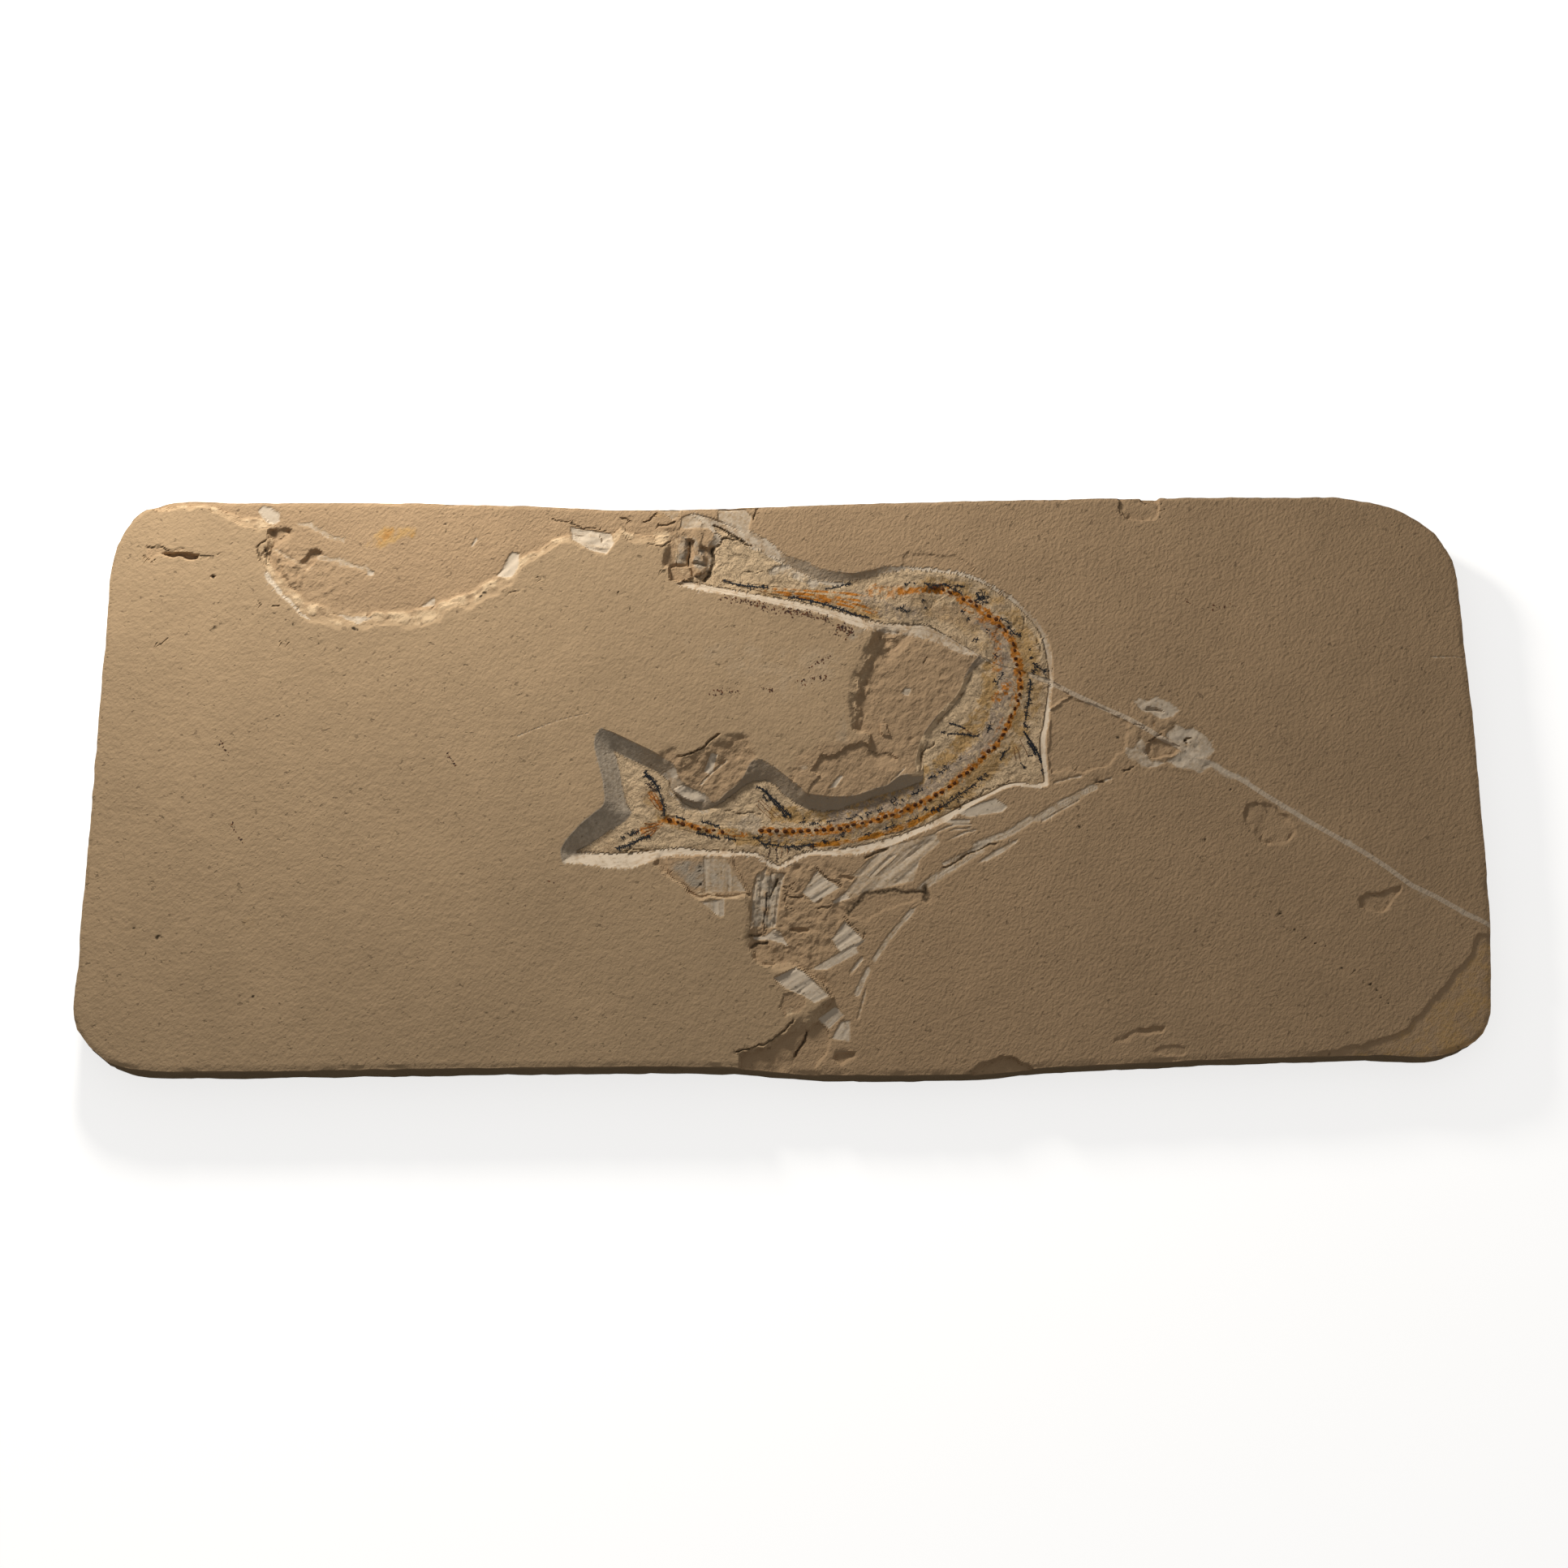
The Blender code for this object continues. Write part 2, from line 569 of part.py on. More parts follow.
def ribbon_tube(name, stations, flatness, rise, sides, collection):
    """A tube through (x, y, radius) stations on the fish's bed, flattened, its lowest part at a level."""
    curve = bpy.data.curves.new(name, "CURVE")
    curve.dimensions = "3D"
    curve.bevel_depth = MM
    curve.bevel_resolution = sides // 2 - 2
    curve.use_fill_caps = True
    spline = curve.splines.new("POLY")
    spline.points.add(len(stations) - 1)
    for point, (x, y, radius) in zip(spline.points, stations):
        place = at(x, set_back(y, FISH_BED), 0)
        point.co = (place.x, place.y, 0, 1)
        point.radius = radius
    guide = bpy.data.objects.new(name, curve)
    piece = mesh_from_curve(guide, collection)
    piece.data.transform(Matrix.Diagonal((1, 1, flatness, 1)))
    lowest = min(vertex.co.z for vertex in piece.data.vertices)
    piece.data.transform(Matrix.Translation((0, 0, rise * MM - lowest)))
    return piece


def make_flank(parts):
    stations = [tuple(point) for point in smooth_line(FLANK, 2)]
    return ribbon_tube("flank_scales", stations, FLANK_FLATNESS, FISH_BED + NODE_GAP, 8, parts)


def make_backbone(parts):
    """Vertebrae as beads of one tube: a wide ring at each middle, a narrow one at each joint."""
    line = smooth_line(SPINE, 8)
    length = sum((b - a).length for a, b in zip(line, line[1:]))
    beads = round(length / VERTEBRA_PITCH)
    stations = []
    for index, point in enumerate(along(line, beads * 2 + 1)):
        share = min(1.0, FIRST_VERTEBRA + (1 - FIRST_VERTEBRA) * index / GROWING_RINGS)
        width = VERTEBRA_RADIUS * (1.0 if index % 2 else VERTEBRA_WAIST) * share
        stations.append((point.x, point.y, width))
    flatness = BACKBONE_HALF_HEIGHT / VERTEBRA_RADIUS
    clear_of_flank = FISH_BED + NODE_GAP * 2 + FLANK_WIDEST * FLANK_FLATNESS * 2
    return ribbon_tube("backbone", stations, flatness, clear_of_flank, 6, parts)


def make_skull(parts):
    rise = FISH_BED + NODE_GAP
    upper = [tuple(point) for point in smooth_line(UPPER_JAW, 3)]
    lower = [tuple(point) for point in smooth_line(LOWER_JAW, 3)]
    skull = ribbon_tube("skull_and_jaws", upper, SKULL_SQUASH, rise, 8, parts)
    lower_jaw = ribbon_tube("lower_jaw", lower, SKULL_SQUASH, rise, 8, parts)
    pieces = [lower_jaw]
    for name, (x, y), half_length, half_width, turn in SKULL_BONES:
        build = bmesh.new()
        bmesh.ops.create_uvsphere(build, u_segments=20, v_segments=8, radius=1.0)
        shape = (
            Matrix.Translation(at(x, set_back(y, FISH_BED), rise + SKULL_HALF_HEIGHT))
            @ Matrix.Rotation(math.radians(turn), 4, "Z")
            @ Matrix.Diagonal((half_length * MM, half_width * MM, SKULL_HALF_HEIGHT * MM, 1))
        )
        build.transform(shape)
        mesh = bpy.data.meshes.new(name)
        build.to_mesh(mesh)
        build.free()
        bone = bpy.data.objects.new(name, mesh)
        parts.objects.link(bone)
        pieces.append(bone)
    for piece in pieces:
        apply_boolean(skull, piece, "UNION")
    for piece in pieces:
        bpy.data.objects.remove(piece)
    return skull


def make_fin(name, fin, parts):
    """A thin pleated fan, a ridge for each ray, between its root and tip lines."""
    rays, root_line, tip_line = fin
    count = rays * 2 + 1
    floor = FISH_BED + NODE_GAP
    root = along(root_line, count)
    tip = along(tip_line, count)
    heights = [FIN_RAY if index % 2 else FIN_WEB for index in range(count)]
    sections = []
    for line, share in ((root, 1.0), (tip, FIN_TIP_SHARE)):
        line = [Vector((p.x, set_back(p.y, FISH_BED))) for p in line]
        upper = [at(p.x, p.y, floor + h * share) for p, h in zip(line, heights)]
        under = [at(p.x, p.y, floor) for p in reversed(line)]
        sections.append(upper + under)
    return lofted_solid(name, sections, parts)


def main():
    for old in list(bpy.data.objects):
        bpy.data.objects.remove(old)
    parts = new_collection("fossil_fish")
    cutters = new_collection("cutters")
    slab = make_whole_slab(parts, cutters)
    upper_stone, mortar = split_at_the_break(slab, parts, cutters)
    stone = new_material("limestone", STONE_COLOUR, 0.85)
    finishes = [
        (slab, stone),
        (upper_stone, new_material("limestone_of_upper_stone", STONE_COLOUR, 0.85)),
        (mortar, new_material("mortar", MORTAR_COLOUR, 0.9)),
        (make_flank(parts), new_material("fossil_scales", SCALE_COLOUR, 0.7)),
        (make_backbone(parts), new_material("fossil_bone", BONE_COLOUR, 0.6)),
        (make_skull(parts), new_material("skull_bone", BONE_COLOUR, 0.6)),
    ]
    for name, fin in (
        ("tail_fin", TAIL_FIN),
        ("dorsal_fin", DORSAL_FIN),
        ("anal_fin", ANAL_FIN),
        ("pelvic_fin_inner", INNER_PELVIC_FIN),
        ("pelvic_fin_outer", OUTER_PELVIC_FIN),
    ):
        finishes.append((make_fin(name, fin, parts), new_material(name + "_rays", FIN_COLOUR, 0.7)))
    for piece, material in finishes:
        piece.data.materials.clear()
        piece.data.materials.append(material)


main()
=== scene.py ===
"""The finish of a fossil fish in its limestone slab.

The stone is a block whose upper face is carved column by column: every place on the plan has
a height and a set of marks (planed, broken, rough, stained, and painted highlight and shade),
and the materials read the marks.
Places are millimetres on the plan, as in the solid model, and the function places() puts them
round the slab's middle.
"""

import math
from contextlib import contextmanager

import bpy
import numpy as np
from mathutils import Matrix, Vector


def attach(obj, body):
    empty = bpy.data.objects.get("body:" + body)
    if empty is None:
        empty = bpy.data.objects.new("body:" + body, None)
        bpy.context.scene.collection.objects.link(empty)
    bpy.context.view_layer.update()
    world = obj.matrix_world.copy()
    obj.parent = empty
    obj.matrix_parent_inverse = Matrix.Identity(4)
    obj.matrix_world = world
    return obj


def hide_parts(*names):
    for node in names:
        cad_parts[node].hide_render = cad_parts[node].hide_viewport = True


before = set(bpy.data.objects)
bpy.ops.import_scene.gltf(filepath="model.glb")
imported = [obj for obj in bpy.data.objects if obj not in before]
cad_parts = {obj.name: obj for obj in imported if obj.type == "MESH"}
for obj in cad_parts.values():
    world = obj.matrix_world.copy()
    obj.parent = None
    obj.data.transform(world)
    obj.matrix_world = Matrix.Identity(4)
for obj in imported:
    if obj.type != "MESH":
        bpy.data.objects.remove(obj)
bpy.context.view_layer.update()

MM = 0.001
# The slab's middle on the plan, in millimetres
PLAN_MIDDLE = (0.9, 2.55)

# Heights of the beds above the slab's underside, in millimetres
THICKNESS = 18.0
ROUGH_BED = 15.2
INNER_BED = 14.7
FISH_BED = 13.2

# Cells of the whole face along and across, and the sizes wanted in millimetres: on plain stone,
# near the slab's edge, on steps and lumps, and on everything finer
CELLS_LONG = 116
CELLS_WIDE = 51
PLAIN_CELL = 2.6
EDGE_CELL = 1.3
STEP_CELL = 0.8
FINE_CELL = 0.65
# Faces at least about this large are divided where the size wanted is smaller
DIVIDE_LIMITS = (1.9, 0.95)
# A place this close to the top or the underside lies on it
TOUCH = 0.01
# How far a place is moved at most to lie on the rim or the foot of the recess
SNAP_REACH = 0.42

# The lists below give places as they are seen from the camera on the plane of the slab's top;
# a place lower down lies this much further back for each millimetre of depth
SIGHT_SLOPE = 0.306
# The way towards the light on the plan
BACK_LEFT = (-0.485, 0.875)
# No slope or wall is wider than this, and no strip of the fish is wider to each side
WIDEST_SLOPE = 14.0
WIDEST_STRIP = 10.0

# The slab's outline, clockwise from its front left corner, in four sides
LEFT_SIDE = [
    (-293.7, -117.5), (-299.1, -110.5), (-301.3, -103.5), (-301.5, -96.5), (-300.5, -82),
    (-301.2, -68), (-300.5, -39.5), (-300.2, -10), (-300, 35), (-299.6, 65), (-299.7, 95),
    (-298.8, 103), (-297.5, 110.5), (-294, 118.3),
]
BACK_SIDE = [
    (-294, 118.3), (-290, 124.5), (-285, 128), (-280, 130), (-275, 131.5), (-268, 132.3),
    (-250, 131.7), (-200, 131.8), (-173, 131.6), (-144, 130.8), (-115, 130.4), (-100, 129.5),
    (-86, 128.5), (-68, 128), (-42, 128.4), (-13, 129.3), (16, 130.8), (45, 131.6),
    (74, 132.4), (118, 133.2), (147, 134), (191, 134.4), (249, 134.4), (263, 132), (271, 130),
    (278, 127.3), (285, 122.8),
]
RIGHT_SIDE = [
    (285, 122.8), (291.6, 117.2), (295.7, 110.5), (299, 103), (300, 95), (301, 64),
    (302.4, 27), (303, -20), (303.3, -40), (302.9, -68), (301.7, -89), (300.3, -103.5),
    (297, -110.5), (293, -114.3),
]
FRONT_SIDE = [
    (293, -114.3), (287, -117.5), (280, -120), (272, -121.5), (251, -120.2), (183, -122.2),
    (140, -124.5), (114, -125.5), (95, -127.5), (80, -128.6), (46, -129.3), (12, -129),
    (-22, -126), (-74, -125.8), (-125, -126.5), (-176, -127.2), (-227, -128), (-262, -128),
    (-275, -127), (-285, -124.4), (-293.7, -117.5),
]
OUTLINE = LEFT_SIDE[:-1] + BACK_SIDE[:-1] + RIGHT_SIDE[:-1] + FRONT_SIDE[:-1]
# How deep the side walls are roughened, and how close to the outline a place belongs to them
WALL_DEPTH = 0.7
EDGE_REACH = 0.45
# The end walls lie beyond this x, and the long walls beyond this y
END_WALLS = 280
LONG_WALLS = 110

# Where the smooth upper bed ends and the rough bed begins: x, y, width of the slope below
UPPER_BED_EDGE = [
    (-22, -140, 1.5), (-20, -121, 1.8), (-14, -118.6, 2.0), (-10, -117, 2.2), (-5, -114, 2.4),
    (0, -110, 2.8), (5, -106.3, 4.0), (9, -104.2, 6.5), (12.5, -101.5, 7.0), (15.5, -98.6, 5.5),
    (20, -96, 1.2), (14.5, -90.2, 1.0), (8.7, -84.6, 1.0), (2, -82.5, 1.5), (-5, -84, 1.5),
    (-10, -83.5, 1.5), (-14.5, -78.5, 2.2), (-15.5, -74, 3.0), (-14.5, -69.5, 4.0),
    (-14.4, -62, 5.0), (-16, -56, 4.4), (-18.5, -52.4, 2.6), (-26, -52.6, 1.6), (-31, -53.2, 1.6),
    (-36, -53.5, 1.8), (-42, -50.6, 2.0), (-47, -46.5, 2.0), (-51, -43.5, 1.6), (-57, -38, 3.0),
    (-55, -30, 3.0), (-30, -26, 3.0), (0, -24, 3.0), (9, -12, 2.0), (10, -5.5, 1.6),
    (12, -1, 1.6), (15, 3, 1.2), (11, 5, 1.4), (13, 8.5, 1.6), (16, 11.5, 1.6), (20, 12.4, 1.6),
    (24, 14.2, 1.8), (28, 16, 1.8), (32, 17.4, 1.6), (37, 17.4, 1.6), (37.5, 20, 1.4),
    (33, 20.5, 2.0), (30, 23, 2.4), (28.8, 28, 4.0), (28.4, 33, 5.0), (28.2, 40, 7.0),
    (28.8, 46, 8.5), (30.2, 50, 9.5), (33, 57, 10.0), (35.4, 63, 11.0), (38.6, 69.5, 10.0),
    (41, 80, 3.0), (10, 86, 3.0), (-30, 93, 3.0), (-46, 96, 2.0), (-49, 104, 2.0),
    (-49.5, 113, 2.0),
]
BACK_EDGE_OF_UPPER_BED = [
    (-53, 112, 4.0), (-58, 110, 5.0), (-62, 111.6, 5.0), (-66, 111.2, 6.0), (-70, 113, 5.0),
    (-72.6, 116, 3.0), (-74.4, 113, 3.0), (-76, 110, 5.0), (-79, 105.6, 9.0), (-84, 106.4, 10.0),
    (-90, 108.4, 9.0), (-95, 111.4, 5.0), (-99, 110.6, 4.5), (-105, 105.4, 5.0),
    (-112, 101, 5.0), (-116, 98.5, 6.0), (-119, 94, 8.0), (-126, 87, 9.0), (-134, 81.5, 9.5),
    (-139, 80, 8.0), (-145, 79.6, 6.0), (-150, 78.5, 6.0), (-152, 75, 9.0), (-160, 70, 12.0),
    (-165, 69.5, 11.0), (-175, 72, 7.0), (-180, 71.5, 7.0), (-183, 69.5, 9.0),
    (-188, 70, 10.0), (-195, 69.3, 11.0), (-203, 72, 10.0), (-211, 74.5, 10.0),
    (-216, 78, 8.0), (-224, 88, 6.0), (-229, 94, 5.0), (-232, 99, 4.0), (-234, 105, 3.0),
    (-231.5, 110, 3.0), (-230, 113, 2.0), (-231, 117.5, 4.0), (-238, 119, 5.0),
    (-244, 119.5, 5.0), (-250, 122, 4.0), (-258, 126.5, 3.0), (-262, 127.5, 2.4),
    (-272, 127, 2.4), (-278, 125, 3.0), (-285, 127, 3.0), (-291, 130, 2.0), (-294, 142, 2.0),
]
ROUGH_FIELD = (
    UPPER_BED_EDGE + BACK_EDGE_OF_UPPER_BED
    + [(-294, 160, 2.0), (330, 160, 2.0), (330, -160, 2.0), (-22, -160, 1.5)]
)
# Left of this x and behind this y the slope goes down in terraces: how far in, how far down
BACK_SCAR = (-45, 60)
TERRACES = ([0, 0.14, 0.36, 0.46, 0.74, 0.90, 1], [0, 0.28, 0.34, 0.50, 0.55, 0.96, 1])

# The cut recess round the fish: its rim and the foot of its walls
RECESS_RIM = [
    (-82.5, 16), (-82.3, 20), (-80, 23.7), (-76, 22.8), (-72, 21), (-65, 17.5), (-58, 14),
    (-52, 10.5), (-48, 8), (-46.4, 5), (-45.6, 2), (-43, -1), (-40, -3.4), (-34, -5.5),
    (-30, -10), (-25, -5.5), (-20, -1.5), (-17, 3), (-14.5, 8), (-12, 9.8), (-9, 9.5),
    (-5, 7), (0, 3), (5, -1), (8, -3.5), (10, -5.5), (15, -6.3), (20, -7), (28, -7),
    (33, -6), (40, -3.5), (45, -2), (48, 0.5), (51, 2.5), (57.4, 3.6), (57.6, 7), (57.8, 10.5),
    (59, 15), (61, 21), (65, 27), (70, 33), (75, 38), (78, 43), (80, 48), (83, 54),
    (86, 57.5), (82, 57.8), (75, 60.2), (70, 63), (65, 64.8), (60, 66), (50, 67.8),
    (40, 68.8), (30, 72), (20, 76), (10, 78.6), (0, 80.7), (-10, 83.2), (-20, 85.6),
    (-30, 87), (-40, 88.8), (-48, 91.4), (-43, 93.4), (-38, 96), (-34.6, 100), (-34, 104),
    (-34, 110), (-31, 114.6), (-34, 119), (-42, 126.5), (-28, 122), (-15, 117), (-9, 113.6),
    (-5, 110.6),
    (1, 105.6), (5, 104.2), (10, 102.2), (15, 99.8), (20, 98.2), (30, 96.8), (35, 97.6), (40, 98.6),
    (45, 100), (52.5, 100), (60, 99.4), (70, 98.7), (80, 97), (86, 95), (90, 92.8),
    (95, 89.9), (100, 87), (104, 83.7), (107, 80.6), (111, 76.2), (114.5, 71.5), (117, 66),
    (118.4, 60), (119, 50), (118.6, 45), (118, 40), (117, 31), (116.2, 25), (115, 20),
    (115.1, 10), (115.4, 2), (114.5, -3), (105, -2.6), (100, -2.9), (95, -4.5), (90, -7),
    (85, -9.8), (80, -12.4), (75, -15.6), (70, -19), (63, -22.2), (57, -24.6), (50, -28),
    (45, -29.8), (38, -31.8), (32, -33.4), (25, -33.7), (10, -34.2), (6, -36), (2, -38),
    (-3, -40.4), (-8, -37.5), (-14, -34), (-25, -34.2), (-40, -33.6), (-50, -34.2),
    (-57, -36.5), (-65, -39.3), (-70, -39.6), (-78, -39), (-83, -38), (-94, -37),
    (-95.6, -34.5), (-96, -31), (-94, -27), (-90, -22), (-86, -18), (-82, -14.5),
    (-79, -12), (-77.5, -9), (-78, -4), (-78.5, 0), (-79.4, 4), (-80.5, 8), (-81.6, 12),
]
RECESS_FOOT = [
    (-74, 14), (-70, 11.5), (-66, 9.6), (-62, 7.5), (-58, 5.6), (-55, 4), (-50, 0),
    (-49, -3.6), (-46, -7.5), (-43.6, -10), (-40.6, -11.6), (-37, -13), (-33, -13),
    (-28, -11), (-24, -8), (-20, -5), (-17, -2.6), (-14, -1), (-10, -0.4), (-6, -0.5),
    (-3, -2.8), (0, -6), (5, -10), (10, -12.5), (15, -13.8), (20, -14), (25, -13),
    (30, -11), (35, -9.5), (40, -7.5), (45, -6), (50, -4.8), (57, -2), (60.6, -0.4),
    (61, 3), (61, 7), (61.2, 11.6), (63.8, 19.2), (67, 25.4), (72, 31.3), (77, 37), (80.2, 42),
    (82.2, 47), (85, 52), (89.5, 56), (85, 59.4), (80, 62), (75, 65.4), (70, 68.8),
    (64, 72), (58, 72.6), (50, 72.5), (40, 74), (30, 77), (20, 79.7), (10, 82.3),
    (0, 84.5), (-10, 86.3), (-20, 88.4), (-30, 90.2), (-40, 92.4), (-45, 93), (-41, 94.4),
    (-36, 97), (-33, 100), (-32, 104), (-32, 108), (-28, 113), (-30, 116), (-31, 119.5),
    (-26, 117), (-22, 114.5), (-15, 110), (-8, 105.8), (0, 102), (5, 98.5), (10, 95.8),
    (13, 94), (20, 93), (30, 93.3), (35, 94), (40, 94.8), (45, 96.5), (53, 98.2),
    (60, 97.9), (70, 97.3), (80, 95.4), (86, 93.3), (90, 91.2), (95, 88), (100, 84.7),
    (104, 81), (107, 77.7), (110.6, 73), (113.4, 69), (115, 64), (116, 59), (117, 50),
    (117, 45), (116.4, 40), (115, 31), (114, 25), (112.6, 20), (112.6, 10), (113.6, 2),
    (112.8, -1.2), (105, -1), (100, -1.3), (95, -2.7), (90, -5.5), (85, -7.9), (80, -10.2),
    (75, -13), (70, -15.8), (65, -18.4), (60, -20.9), (55, -22.9), (50, -24.9), (40, -27.8),
    (35, -29.3), (25, -30.6), (10, -32), (6, -33.4), (3, -35), (-3, -38.2), (-8, -35),
    (-14, -32.3), (-30, -31.8), (-40, -30.8), (-46, -30.4), (-52, -31), (-60, -32),
    (-70, -33), (-80, -32.8), (-89, -32.3), (-87, -30.6), (-84, -29), (-80, -26),
    (-75, -22.5), (-70, -19.5), (-67, -16.5), (-66, -14), (-68, -10.5), (-69.5, -5),
    (-70.5, 0), (-71.5, 5), (-72.7, 10),
]
# Within the recess: the duller bed at the nape, the paler wall at the tail, a patch of pale wall,
# and the wall inside the curl that broke and wasn't planed
NAPE_BED = [(58, 75), (64, 84), (78, 84), (90, 74), (86, 67), (72, 71)]
TAIL_WALL = [(-83, 22), (-78, 20), (-72, 8), (-68, -8), (-66, -14), (-74, -12), (-80, -10), (-81, 6)]
PALE_WALL_PATCH = [
    (-48, -3.4), (-44.4, -1.4), (-38, -4), (-33.4, -6.4), (-34, -9.8), (-39, -10.2), (-44, -8.4),
    (-48, -5.4),
]
NATURAL_WALL = [(50, 6), (82, 50), (92, 58), (98, 52), (70, 15), (60, 2), (56, 2)]
# The walls of the tail's lobes lie left of this x, and the pale wall at the snout, partly painted
# highlight, left of this x and behind this y
TAIL_LOBES_X = -60
SNOUT_WALL = (4, 95)
# The painted highlight on the wall on the right is weaker from this x on and between these values of y
DIM_WALL_X = 30
DIM_WALL_Y = (45, 80)

